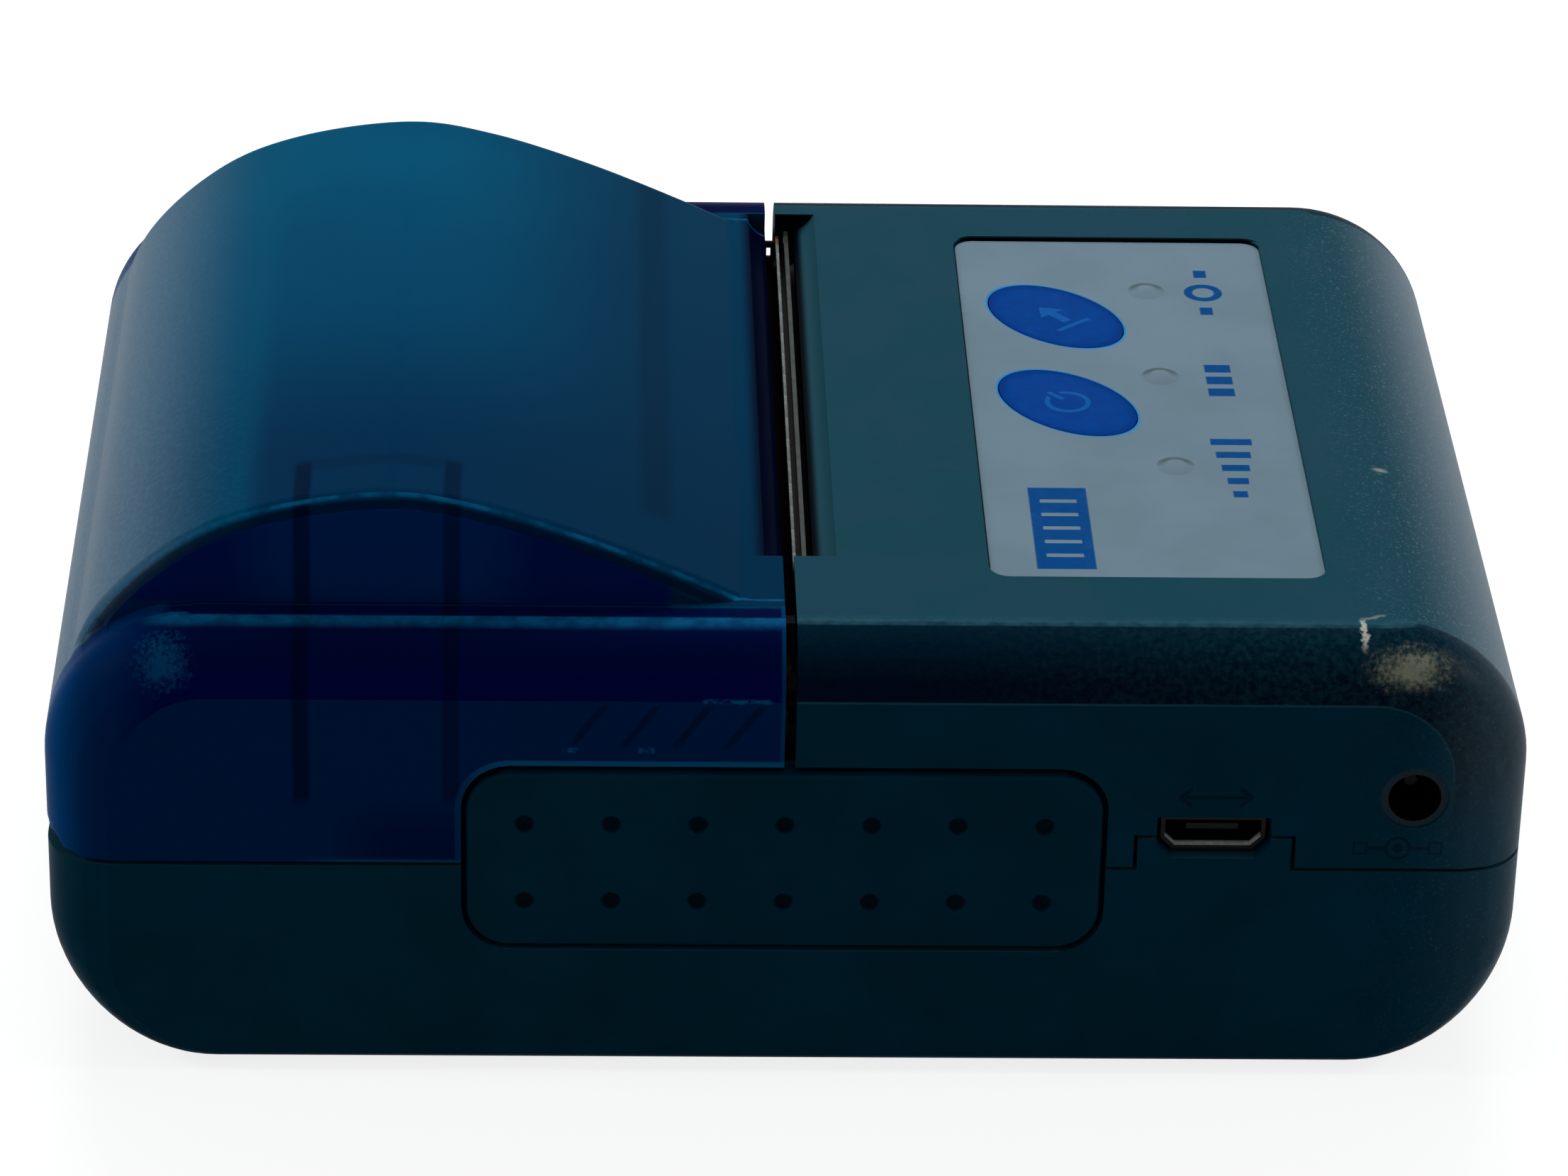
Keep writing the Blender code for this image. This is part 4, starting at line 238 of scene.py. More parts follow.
class Graph:
    """The node tree of a material or of the world."""

    def __init__(self, owner: Union[bpy.types.Material, bpy.types.World]) -> None:
        """Opens the owner's nodes.

        Args:
            owner: The material, with its one principled shader, or the world.
        """
        owner.use_nodes = True
        self.owner = owner
        self.tree = owner.node_tree
        self.shader = self.tree.nodes.get("Principled BSDF")

    def feed(self, socket: bpy.types.NodeSocket, given: object) -> None:
        """Sets a socket to a value, or links it.

        Args:
            socket: The input.
            given: A number, a colour, a vector, a Value or an output socket.
        """
        if isinstance(given, Value):
            given = given.socket
        if isinstance(given, bpy.types.NodeSocket):
            self.tree.links.new(given, socket)
        elif socket.type == "RGBA" and len(given) == 3:
            socket.default_value = (*given, 1.0)
        else:
            socket.default_value = given

    def node(
        self, kind: str, settings: Optional[dict] = None, inputs: Optional[dict] = None
    ) -> bpy.types.Node:
        """Adds any node.

        Args:
            kind: The node's type.
            settings: Its settings, such as a Math node's operation.
            inputs: Values or links by the socket's name or number.

        Returns:
            The new node.
        """
        made = self.tree.nodes.new(kind)
        for name, value in (settings or {}).items():
            setattr(made, name, value)
        for name, value in (inputs or {}).items():
            self.feed(made.inputs[name], value)
        return made

    def maths(self, operation: str, *values: Number) -> Value:
        """A Math node.

        Args:
            operation: Its operation.
            values: Its inputs.

        Returns:
            Its result.
        """
        node = self.node("ShaderNodeMath", {"operation": operation}, dict(enumerate(values)))
        return Value(self, node.outputs[0])

    @cached_property
    def place(self) -> bpy.types.NodeSocket:
        """The point on the object, in the piece's own coordinates.

        Returns:
            A vector in millimetres.
        """
        coordinates = self.node("ShaderNodeTexCoord").outputs["Object"]
        inputs = {0: coordinates, "Scale": 1 / MM}
        return self.node("ShaderNodeVectorMath", {"operation": "SCALE"}, inputs).outputs[0]

    @cached_property
    def axes(self) -> tuple[Value, ...]:
        """The point's X, Y and Z in millimetres."""
        split = self.node("ShaderNodeSeparateXYZ", {}, {0: self.place})
        return tuple(Value(self, output) for output in split.outputs)

    @cached_property
    def facing_up(self) -> Value:
        """How far the surface faces up, from -1 to 1."""
        normal = self.node("ShaderNodeTexCoord").outputs["Normal"]
        return Value(self, self.node("ShaderNodeSeparateXYZ", {}, {0: normal}).outputs[2])

    def outside(
        self, across: Value, along: Value, low: Sequence[float], high: Sequence[float], corner: float
    ) -> Value:
        """How far a point lies outside a rectangle with rounded corners, and less than 0 inside it.

        Args:
            across: The point's first coordinate.
            along: Its second.
            low: The rectangle's lowest corner.
            high: Its highest corner.
            corner: Radius of its corners.

        Returns:
            The distance.
        """
        first = abs(across - (low[0] + high[0]) / 2) - ((high[0] - low[0]) / 2 - corner)
        second = abs(along - (low[1] + high[1]) / 2) - ((high[1] - low[1]) / 2 - corner)
        past = first.most(0.0).reach(second.most(0.0))
        return past + first.most(second).least(0.0) - corner

    def noise(
        self, scale: float, detail: float = 3.0, stretch: Triple = (1.0, 1.0, 1.0), at: float = 0.0
    ) -> Value:
        """Even noise about 0.5.

        Args:
            scale: Features per millimetre.
            detail: Octaves.
            stretch: Scale of each axis.
            at: Shift, so that two noises differ.

        Returns:
            The noise.
        """
        where = {"Vector": self.place, "Location": (at, at, at), "Scale": stretch}
        mapped = self.node("ShaderNodeMapping", {}, where).outputs[0]
        inputs = {"Vector": mapped, "Scale": scale, "Detail": detail, "Roughness": 0.6}
        return Value(self, self.node("ShaderNodeTexNoise", {}, inputs).outputs[0])

    def mix(self, share: Number, first: Tone, second: Tone) -> bpy.types.NodeSocket:
        """A colour between two.

        Args:
            share: 0 for the first, 1 for the second.
            first: A colour or its socket.
            second: A colour or its socket.

        Returns:
            The mixed colour.
        """
        node = self.node("ShaderNodeMix", {"data_type": "RGBA"}, {0: share, 6: first, 7: second})
        return node.outputs[2]

    def bump(self, height: Number, depth: float) -> None:
        """Raises the surface where the height is more.

        Args:
            height: From 0 to 1.
            depth: What 1 stands for.
        """
        node = self.node("ShaderNodeBump", {}, {"Height": height, "Distance": depth * MM, "Strength": 1.0})
        self.feed(self.shader.inputs["Normal"], node.outputs[0])

    def set(self, **values: object) -> None:
        """Sets the shader's sockets, whose names are given with underscores for spaces."""
        for name, value in values.items():
            self.feed(self.shader.inputs[name.replace("_", " ")], value)


class KeyOval:
    """Sizes and places of the two oval keys."""

    long: float = 6.2
    short: float = 4.05
    turn: float = math.radians(130.5)
    x: float = 21.77
    rows: dict[str, float] = {"feed": 15.1, "power": 0.3}

    @classmethod
    def sides(cls, graph: Graph, y_centre: float) -> tuple[Value, Value]:
        """How far a point lies from a key's middle.

        Args:
            graph: The material's graph.
            y_centre: The Y of the key's middle.

        Returns:
            The distance along the key and the one across it.
        """
        x, y, _ = graph.axes
        across, along = x - cls.x, y - y_centre
        cos, sin = math.cos(cls.turn), math.sin(cls.turn)
        return across * cos + along * sin, along * cos - across * sin

    @classmethod
    def spread(cls, graph: Graph, y_centre: float) -> Value:
        """How far a point lies from a key's middle, 1 at the key's edge."""
        along, across = cls.sides(graph, y_centre)
        return (along / cls.long).reach(across / cls.short)


class Lens:
    """Sizes and places of the three lenses."""

    x: float = 29.15
    y: float = 4.9
    pitch: float = 14.85
    radius: float = 1.45
    rows: dict[str, int] = {"near": -1, "middle": 0, "far": 1}

    @classmethod
    def middle(cls, row: int) -> float:
        """The Y of a lens's middle."""
        return cls.y + row * cls.pitch


@dataclass(frozen=True)
class Finish:
    """A surface finish, which makes its material once."""

    name: str
    colour: Colour

    def paint(self, graph: Graph) -> None:
        """Adds the finish to a graph, here its plain colour."""
        graph.set(Base_Color=self.colour)

    def material(self) -> bpy.types.Material:
        """The finish as a material, made when it is first asked for.

        Returns:
            The material, the same one each time.
        """
        found = bpy.data.materials.get(self.name + "_finish")
        if found is not None:
            return found
        graph = Graph(bpy.data.materials.new(self.name + "_finish"))
        self.paint(graph)
        return graph.owner


@dataclass(frozen=True)
class Moulded(Finish):
    """Moulded plastic with a fine spark-eroded grain and a faint drift of its colour."""

    roughness: float = 0.5
    specular: float = 0.35
    grain: float = 6.0
    depth: float = 0.012
    drift: float = 0.25

    def tone(self, graph: Graph) -> bpy.types.NodeSocket:
        """The colour before marks, darker and lighter in soft patches."""
        patches = graph.noise(0.12, 3.0).step(0.3, 0.7)
        return graph.mix(patches, shade(self.colour, 1 - self.drift), shade(self.colour, 1 + self.drift))

    def surface(
        self,
        graph: Graph,
        tone: Tone,
        spread: float = 0.25,
        rougher: Number = 0.0,
        raised: Number = 0.0,
    ) -> None:
        """Sets the colour, the gloss and the grain.

        Args:
            graph: The material's graph.
            tone: The colour.
            spread: How far the grain changes the roughness.
            rougher: What adds to the roughness.
            raised: What stands up besides the grain.
        """
        fine = graph.noise(self.grain, 2.0)
        graph.set(
            Base_Color=tone,
            Roughness=self.roughness + (fine - 0.5) * spread + rougher,
            Specular_IOR_Level=self.specular,
        )
        graph.bump(fine + raised, self.depth)

    def paint(self, graph: Graph) -> None:
        """Adds the grain, the drift and the gloss to a graph."""
        self.surface(graph, self.tone(graph))


@dataclass(frozen=True)
class HousingPlastic(Moulded):
    """The dark teal housing: a level top with painted sheen, mottled fillets in painted shade, a grained
    end made pale by painted sheen, scuffs, and pressed signs darkened by painted shade.
    """

    # level and cool: painted sheen that makes the level top lighter and greyer than the walls
    level: Colour = linear(22, 66, 79)
    cool: Colour = linear(28, 66, 82)
    # painted light that lifts the slot's dip to the top's tone
    dip: Colour = linear(34, 75, 88)
    # painted shade in the slot's dip, along the pocket's far edge and in the pressed signs
    deep: Colour = linear(0, 6, 12)
    # painted shade on the fillets, lighter where they face up more
    fillet_high: Colour = linear(0, 27, 44)
    fillet_low: Colour = linear(0, 13, 34)
    mottle: Colour = linear(26, 66, 72)
    # painted highlight along the near crest and the fold under the fillet
    line: Colour = linear(60, 112, 128)
    # painted sheen on the end, and painted glints on its grain
    end: Colour = linear(84, 108, 122)
    grit: Colour = linear(150, 168, 180)
    # painted highlight where the near fillet meets the end
    glint: Colour = linear(164, 166, 140)
    scuff: Colour = linear(206, 208, 198)
    wall: Outline = ((-47.3, -60.0), (47.3, 30.7), 6.0)
    pocket: Outline = ((14.4, -27.8), (38.9, 28.95), 1.6)
    slot_x: Flat = (-3.5, 8.8)
    streak_x: float = 40.55
    branch_at: Flat = (41.0, -33.7)
    speck_at: Flat = (44.3, -10.4)
    glint_at: Flat = (43.8, 33.1)
    polarity_at: Flat = (43.6, 19.1)
    arrow_at: Flat = (30.4, 23.2)

    def scuffs(self, graph: Graph) -> Value:
        """The white scuff on the near edge and the speck beside the panel."""
        x, y, z = graph.axes
        ragged = graph.noise(2.2, 4.0) - 0.5
        streak = abs(x - self.streak_x + ragged * 1.1).step(0.3, 0.04) * y.band(-36.5, -34.0, 1.2)
        slope = (x - self.branch_at[0]) * 0.4
        branch = abs(y - self.branch_at[1] - slope + ragged * 0.8).step(0.24, 0.08)
        branch = branch * x.band(40.7, 42.2, 0.4)
        speck = ((x - self.speck_at[0]) * 0.6).reach((y - self.speck_at[1]) * 1.1).step(0.5, 0.1)
        near = (streak * z.step(33.4, 33.8)).most(branch * z.step(34.6, 35.0) * 0.3)
        return near.most(speck * z.step(34.4, 34.8) * 0.45)

    def glints(self, graph: Graph) -> Value:
        """The painted highlight where the near fillet meets the end."""
        x, y, z = graph.axes
        ragged = graph.noise(2.6, 4.0, at=3.0) - 0.5
        reach = ((x - self.glint_at[0]) / 2.6).reach((z - self.glint_at[1]) / 1.2) + ragged * 2.4
        return (reach.step(1.1, 0.1) * 0.6 + reach.step(1.5, 0.7) * 0.15) * y.step(-35.4, -36.4)

    def polarity(self, x: Value, z: Value) -> Value:
        """The polarity sign: a dot in a ring, with an arm and a square on either side.

        Args:
            x: The point's X.
            z: The point's Z.

        Returns:
            The sign as a mask.
        """
        across, rise = abs(x - self.polarity_at[0]), abs(z - self.polarity_at[1])
        radius = across.reach(rise)
        ring = radius.band(0.75, 0.95, 0.08).most(radius.step(0.4, 0.32))
        arms = rise.step(0.16, 0.08) * across.band(0.95, 2.2, 0.1)
        squares = abs(across - 2.7).most(rise).band(0.38, 0.52, 0.06)
        return ring.most(arms).most(squares)

    def arrow(self, x: Value, z: Value) -> Value:
        """The double arrow.

        Args:
            x: The point's X.
            z: The point's Z.

        Returns:
            The sign as a mask.
        """
        across, rise = abs(x - self.arrow_at[0]), abs(z - self.arrow_at[1])
        line = rise.step(0.16, 0.08) * across.step(2.3, 2.2)
        heads = abs(rise - (2.6 - across) * 0.8).step(0.22, 0.12) * across.band(1.7, 2.6, 0.1)
        return line.most(heads)

    def pressed(self, graph: Graph) -> Value:
        """The plain signs pressed into the near wall."""
        x, y, z = graph.axes
        return self.polarity(x, z).most(self.arrow(x, z)) * y.step(-38.2, -38.4)

    def shaded(self, graph: Graph, mottle: Value) -> bpy.types.NodeSocket:
        """The colour of the top, the fillets, the end, the slot's dip, the pocket and the edge lines,
        mostly painted light and shade.

        Args:
            graph: The material's graph.
            mottle: The coarse grain from 0 to 1.

        Returns:
            The colour.
        """
        x, y, z = graph.axes
        up = graph.facing_up
        wide = abs(y)
        sides = wide.step(33.8, 34.0)
        edge = graph.outside(x, z, *self.wall)
        rounded = sides * edge.step(-0.05, 0.1) * z.step(19.0, 27.0)
        patches = graph.noise(0.1, 3.0, at=4.0).step(0.35, 0.65)
        level = graph.mix(patches, self.level, self.cool)
        # The walls, the mottled fillets in painted shade, and the level top in painted sheen
        fillet = graph.mix(up.step(0.15, 0.95), self.fillet_low, self.fillet_high)
        fillet = graph.mix(mottle * (0.06 + x.step(6.0, 38.0) * 0.4), fillet, self.mottle)
        tone = graph.mix(rounded, self.tone(graph), fillet)
        top = up.step(0.985, 0.996).most((1.0 - sides) * up.step(0.0, 0.5) * z.step(26.0, 31.0))
        tone = graph.mix(top, tone, level)
        # The pale grained end: painted sheen, and painted glints on its grain
        tone = graph.mix(x.step(44.5, 52.5) * z.step(15.0, 27.0) * (1.0 - sides * 0.75), tone, self.end)
        grit = graph.noise(4.5, 2.0, at=2.0).step(0.56, 0.74)
        tone = graph.mix(grit * x.step(38.0, 48.0) * (1.0 - sides * 0.8) * 0.35, tone, self.grit)
        # The slot's dip, lifted by painted light and darkened low down by painted shade, and painted shadow
        # along the pocket's far edge
        slot = x.band(*self.slot_x, 0.4) * wide.step(33.9, 33.6) * z.step(18.0, 20.0)
        sunk = z.step(35.19, 35.1)
        tone = graph.mix(slot * sunk, tone, self.dip)
        tone = graph.mix(slot * z.step(34.15, 33.75).most(sunk * up.step(0.4, 0.2)), tone, self.deep)
        pocket = graph.outside(x, y, *self.pocket).step(0.06, 0.02)
        tone = graph.mix(pocket * y.step(28.2, 28.5) * z.step(34.0, 34.2), tone, self.deep)
        # Painted highlight lines along the near crest and the fold under the fillet, broken up by noise
        uneven = graph.noise(0.9, 3.0, at=5.0).step(0.25, 0.7)
        crest = up.band(0.974, 0.997, 0.012) * y.step(-33.6, -33.9) * z.step(29.8, 30.8)
        tone = graph.mix(crest * (0.1 + uneven * 0.25), tone, self.line)
        fold = edge.band(-0.08, 0.08, 0.1) * wide.step(38.2, 38.4) * z.step(20.0, 30.0)
        return graph.mix(fold * 0.25, tone, self.line)

    def paint(self, graph: Graph) -> None:
        """Adds the tones, the grain, the scuffs and the pressed signs to a graph."""
        x, y, z = graph.axes
        mottle = graph.noise(2.2, 5.0).step(0.32, 0.74)
        signs = self.pressed(graph)
        # painted shade in the pressed signs
        tone = graph.mix(signs * 0.5, self.shaded(graph, mottle), self.deep)
        tone = graph.mix(self.glints(graph) * 0.75, tone, self.glint)
        tone = graph.mix(self.scuffs(graph) * 0.7, tone, self.scuff)
        rough = mottle * abs(y).step(33.8, 34.4) * z.step(29.8, 31.0)
        self.surface(graph, tone, 0.3, rougher=rough * 0.15, raised=rough * 2.0 - signs * 5.0)
        graph.set(Coat_Roughness=0.35, Coat_Weight=x.step(43.0, 52.0) * 0.15)


@dataclass(frozen=True)
class ButtonPlastic(Moulded):
    """The side buttons: the housing's plastic with painted shade in the dimples."""

    dirt: Colour = linear(0, 12, 20)

    def paint(self, graph: Graph) -> None:
        """Adds the grain and the painted shade in the dimples to a graph."""
        _, y, z = graph.axes
        # painted shade in the dimples
        hollow = abs(y).step(38.42, 38.2) * z.band(10.9, 24.8, 0.2) * abs(y).step(37.7, 37.9)
        self.surface(graph, graph.mix(hollow * 0.85, self.tone(graph), self.dirt))


@dataclass(frozen=True)
class JackPlastic(Moulded):
    """The power socket: black in its bore, with a face as dark as the housing."""

    face: Colour = linear(0, 30, 42)
    middle: Flat = (44.6, 23.15)

    def paint(self, graph: Graph) -> None:
        """Adds the face ring and the grain to a graph."""
        x, y, z = graph.axes
        radius = (x - self.middle[0]).reach(z - self.middle[1])
        ring = radius.step(1.9, 2.0) * y.step(-36.0, -37.0)
        self.surface(graph, graph.mix(ring, self.tone(graph), self.face), 0.2)


@dataclass(frozen=True)
class CoverPlastic(Moulded):
    """Translucent blue plastic: painted light and shade over the crown and the sides, and the ribs inside
    show as dark bands.
    """

    # painted light on the crown, which faces up, and painted shade on its near slope and its right part
    crown: Colour = linear(0, 68, 102)
    crown_far: Colour = linear(0, 80, 113)
    crown_near: Colour = linear(0, 44, 76)
    crown_right: Colour = linear(0, 44, 72)
    # painted sheen over the crown's left end
    haze: Colour = linear(0, 82, 112)
    pale: Colour = linear(84, 116, 138)
    # painted highlight at the left corner of the side walls
    corner: Colour = linear(0, 74, 134)
    wall: Colour = linear(0, 44, 102)
    wall_ends: Colour = linear(0, 26, 90)
    # painted shade on the shoulders and the fillets
    fillet: Colour = linear(0, 12, 56)
    fillet_low: Colour = linear(0, 10, 72)
    rim: Colour = linear(12, 112, 164)
    # the ribs' dark bands, and the painted shade of the dark lines
    dusk: Colour = linear(0, 5, 30)
    side_face: Outline = ((-47.3, -60.0), (60.0, 30.7), 6.0)
    notch: Outline = ((-23.6, -5.0), (23.6, 25.75), 3.8)
    left_plate: Flat = (-35.2, -34.0)
    right_plate: Flat = (-24.6, -23.4)
    box: tuple[Flat, Flat] = ((-35.4, -23.3), (-27.4, -25.9))
    cross_x: Flat = (-10.6, -8.4)
    gusset_x: Flat = (-15.4, -1.8)
    gusset_z: Flat = (27.0, 30.4)
    gusset_pitch: float = 3.7
    dash_x: tuple[Flat, Flat] = ((-16.3, -15.0), (-10.7, -9.6))
    glint_x: Flat = (-6.2, -1.3)
    lip_y: Flat = (-24.95, 32.75)
    worn_at: Flat = (-44.2, 32.9)

    def ribs(self, graph: Graph) -> Value:
        """Where the ribs, the boss box, the cross rib and the gussets inside show through."""
        x, y, z = graph.axes
        plates = x.band(*self.left_plate, 0.45).most(x.band(*self.right_plate, 0.45) * 0.85)
        plates = plates * z.step(21.8, 23.0) * y.step(-25.3, -26.6)
        box = x.band(*self.box[0], 0.7) * y.band(*self.box[1], 0.7) * z.step(36.0, 38.0)
        cross = x.band(*self.cross_x, 0.9) * abs(y - 3.9).step(29.5, 27.5) * z.step(33.0, 35.0)
        folds = graph.maths("PINGPONG", x + 2.56 + (29.65 - z) * 0.72, self.gusset_pitch / 2)
        gussets = folds.step(0.5, 0.15) * z.band(*self.gusset_z, 0.6) * x.band(*self.gusset_x, 1.0)
        gussets = gussets * y.step(-36.5, -38.0) * 0.8
        return plates.most(box * 0.3).most(cross * 0.4).most(gussets)

    def dashes(self, graph: Graph) -> Value:
        """The bright ends of the gussets and the glints under the fillet."""
        x, y, z = graph.axes
        ragged = graph.noise(1.4, 3.0, at=1.0).step(0.35, 0.6)
        first, second = (x.band(*ends, 0.3) for ends in self.dash_x)
        low = abs(z - 26.75).step(0.3, 0.1) * first.most(second)
        high = abs(z - 30.85 + ragged * 0.15).step(0.22, 0.08) * x.band(*self.glint_x, 0.4)
        return low.most(high) * ragged * y.step(-37.5, -38.2)

    def toned(self, graph: Graph) -> bpy.types.NodeSocket:
        """The colour of the crown, the shoulders, the fillets and the sides, in painted light and shade."""
        x, y, z = graph.axes
        up = graph.facing_up
        patches = graph.noise(0.07, 2.0).step(0.3, 0.7)
        wide = abs(y)
        end_face = x.step(-51.0, -52.5) * z.step(20.0, 28.0)
        crown = wide.step(32.3, 31.9) * (z.step(26.5, 28.0) * up.step(0.1, 0.3)).most(end_face)
        deck = wide.step(33.2, 32.6) * x.step(-9.0, -8.0) * z.step(28.0, 30.0)
        # The crown in painted light: lightest in the middle and at the far side, darker on its near slope
        # and at its right
        top = graph.mix(y.step(-26.0, 6.0), self.crown_near, self.crown)
        top = graph.mix(y.step(2.0, 32.0) * (0.5 + patches * 0.5), top, self.crown_far)
        top = graph.mix(x.step(-26.0, -8.0) * 0.8, top, self.crown_right)
        # The side walls, darker low down towards the right, a painted highlight at their left corner, and
        # the hump's own walls
        sides = graph.mix(patches * 0.3, self.colour, shade(self.colour, 0.8))
        sides = graph.mix(z.step(24.0, 19.0) * x.step(-34.0, -28.0) * 0.6, sides, self.fillet)
        sides = graph.mix(x.step(-48.0, -53.0) ** 2.0, sides, self.corner)
        hump = wide.step(31.9, 32.2) * wide.step(32.5, 32.4) * z.step(35.0, 35.4)
        sides = graph.mix(hump, sides, graph.mix(x.band(-38.0, -20.0, 6.0), self.wall_ends, self.wall))
        # Painted shade on the shoulders and the fillets
        shoulder = up.step(0.985, 0.995) * wide.step(32.2, 32.4)
        edge = graph.outside(x, z, *self.side_face)
        rounded = wide.step(33.85, 33.95) * edge.step(-0.05, 0.05)
        rounded = rounded * z.step(24.0, 30.0) * x.step(-50.0, -43.0)
        fillet = graph.mix(up.step(0.2, 0.8), self.fillet_low, self.fillet)
        sides = graph.mix(rounded.most(shoulder), sides, fillet)
        tone = graph.mix(crown.most(deck), sides, top)
        # Painted sheen over the crown's left end, broken up by its grain
        cracks = graph.noise(2.4, 4.0, at=6.0).step(0.45, 0.6)
        tone = graph.mix(x.step(-37.0, -39.4) * crown * (0.35 + cracks * 0.15), tone, self.haze)
        return graph.mix(x.step(-39.5, -52.0) * crown * (0.75 + cracks * 0.2), tone, self.pale)

    def lines(self, graph: Graph) -> tuple[Value, Value]:
        """The painted highlight lines and the painted shade lines along the hump's rim, the shoulders and
        the open edges.

        Args:
            graph: The material's graph.

        Returns:
            The painted highlight lines and the painted shade lines as masks.
        """
        x, y, z = graph.axes
        up = graph.facing_up
        wide = abs(y)
        uneven = graph.noise(0.5, 3.0, at=5.0).step(0.35, 0.65)
        # painted highlights along the rim, the crest, the step, the open edge, the notch and the foot
        arch = wide.band(31.5, 31.8, 0.15) * z.step(27.0, 29.0) * (0.08 + uneven * 0.4)
        crest = up.step(0.92, 0.985) * up.step(0.999, 0.995) * y.step(-33.6, -33.9) * (0.25 + uneven * 0.25)
        step_line = wide.band(32.65, 32.8, 0.08) * up.step(0.98, 0.99) * 0.1
        open_edge = x.step(-0.75, -0.62) * y.step(-32.4, -32.8) * 0.18
        wall = y.step(-37.8, -38.2)
        notch = graph.outside(x, z, *self.notch).step(0.18, 0.08) * wall
        notch = notch * (x.step(-23.7, -20.0) * 0.4 + 0.15)
        foot = z.step(17.75, 17.6) * x.step(-36.0, -31.0) * wall * 0.3
        light = arch.most(crest).most(step_line).most(open_edge).most(notch).most(foot)
        # painted shade under the hump's rim and down the slot's lip
        dark = wide.band(31.95, 32.2, 0.12) * up.band(-0.2, 0.8, 0.1) * 0.55
        lip = x.step(-2.8, -1.5) * y.band(*self.lip_y, 0.1)
        return light, dark.most(lip)

    def paint(self, graph: Graph) -> None:
        """Adds the tones, the ribs, the painted rim lines and the painted highlight on the near left corner
        to a graph.
        """
        x, y, z = graph.axes
        light, dark = self.lines(graph)
        tone = graph.mix(self.ribs(graph) * 0.62, self.toned(graph), self.dusk)
        # painted shade along the dark lines
        tone = graph.mix(dark, tone, self.dusk)
        tone = graph.mix(light.most(self.dashes(graph) * 0.5), tone, self.rim)
        ragged = graph.noise(3.2, 4.0, at=3.0) - 0.5
        # painted highlight on the near left corner
        reach = ((x - self.worn_at[0]) / 1.9).reach((z - self.worn_at[1]) / 1.8) + ragged * 2.6
        tone = graph.mix(reach.step(1.2, 0.1) * y.step(-35.0, -36.0) * 0.28, tone, self.rim)
        self.surface(graph, tone, 0.2)
        graph.set(Coat_Roughness=0.3, Coat_Weight=x.step(-42.0, -52.0) * abs(y).step(32.6, 31.8) * 0.12)


@dataclass(frozen=True)
class PanelFilm(Moulded):
    """The grey-white printed film: halos round the keys and plain blue signs beside the lenses."""

    ink: Colour = linear(0, 68, 130)
    halo: Colour = linear(20, 128, 196)
    column: float = 33.6
    ring_y: float = 19.5
    block_low: Flat = (17.9, -26.2)
    block_high: Flat = (22.2, -13.6)

    def bars(self) -> list[tuple[float, float, float]]:
        """The column's bars: a level of five, three squares and two dots.

        Returns:
            The lowest Y, the highest Y and half the width of each.
        """
        level = [(-14.9 + i * 2.1, -13.9 + i * 2.1, (0.7 + 0.33 * i) / 1.3) for i in range(5)]
        squares = [(1.6 + i * 2.0, 2.9 + i * 2.0, 1.0) for i in range(3)]
        return [*level, *squares, (15.6, 16.9, 0.5), (22.2, 23.5, 0.5)]

    def signs(self, graph: Graph) -> Value:
        """The printed signs: the bars, the ring between the dots, and a striped block."""
        x, y, _ = graph.axes
        across = x - self.column
        made = across.reach(y - self.ring_y).band(0.85, 1.5, 0.12)
        for low, high, half in self.bars():
            made = made.most(y.band(low, high, 0.12) * abs(across).step(half + 0.06, half - 0.06))
        (left, near), (right, far) = self.block_low, self.block_high
        block = x.band(left, right, 0.15) * y.band(near, far, 0.15)
        stripes = graph.maths("PINGPONG", y - near, 1.05).step(0.3, 0.2)
        stripes = stripes * x.band(left + 0.8, right - 0.8, 0.12) * y.band(near + 1.2, far - 1.2, 0.12)
        return made.most(block * (1.0 - stripes))

    def paint(self, graph: Graph) -> None:
        """Adds the print, the halos and the faint cloudiness to a graph."""
        tone = self.tone(graph)
        for y_centre in KeyOval.rows.values():
            halo = KeyOval.spread(graph, y_centre).band(1.0, 1.05, 0.04)
            tone = graph.mix(halo * 0.9, tone, self.halo)
        ink = self.signs(graph)
        tone = graph.mix(ink * (0.9 + graph.noise(1.3, 3.0) * 0.2), tone, self.ink)
        self.surface(graph, tone, 0.15, raised=ink * 0.6)


@dataclass(frozen=True)
class KeyPlastic(Moulded):
    """A blue key with a faint plain sign: a power sign, or an arrow that leaves a slot."""

    y_centre: float = 0.0
    power: bool = False
    cloud: Colour = linear(0, 76, 164)
    sign: Colour = linear(26, 108, 178)
    edge: Colour = linear(0, 48, 120)

    def mark(self, graph: Graph) -> Value:
        """The sign as a mask, along the key's long axis."""
        along, across = KeyOval.sides(graph, self.y_centre)
        off = abs(across)
        if self.power:
            gap = off.step(0.6, 0.5) * along.step(0.0, 0.1)
            ring = along.reach(across).band(1.35, 1.75, 0.12) * (1.0 - gap)
            return ring.most(off.step(0.24, 0.14) * along.band(0.5, 2.1, 0.12))
        head = (off - (1.9 - along) * 0.8).step(0.06, -0.06) * along.step(0.35, 0.47)
        shaft = off.step(0.42, 0.32) * along.band(-1.3, 0.5, 0.12)
        slot = along.band(-2.2, -1.8, 0.12) * off.step(1.7, 1.6)
        return head.most(shaft).most(slot)

    def paint(self, graph: Graph) -> None:
        """Adds the sign, the mottled blue and the painted shade round the edge to a graph."""
        mark = self.mark(graph)
        tone = graph.mix(graph.noise(0.9, 4.0).step(0.35, 0.65) * 0.2, self.colour, self.cloud)
        # painted shade round the key's edge
        tone = graph.mix(KeyOval.spread(graph, self.y_centre).step(0.86, 0.97) * 0.7, tone, self.edge)
        self.surface(graph, graph.mix(mark * 0.45, tone, self.sign), 0.15, raised=mark * 2.0)


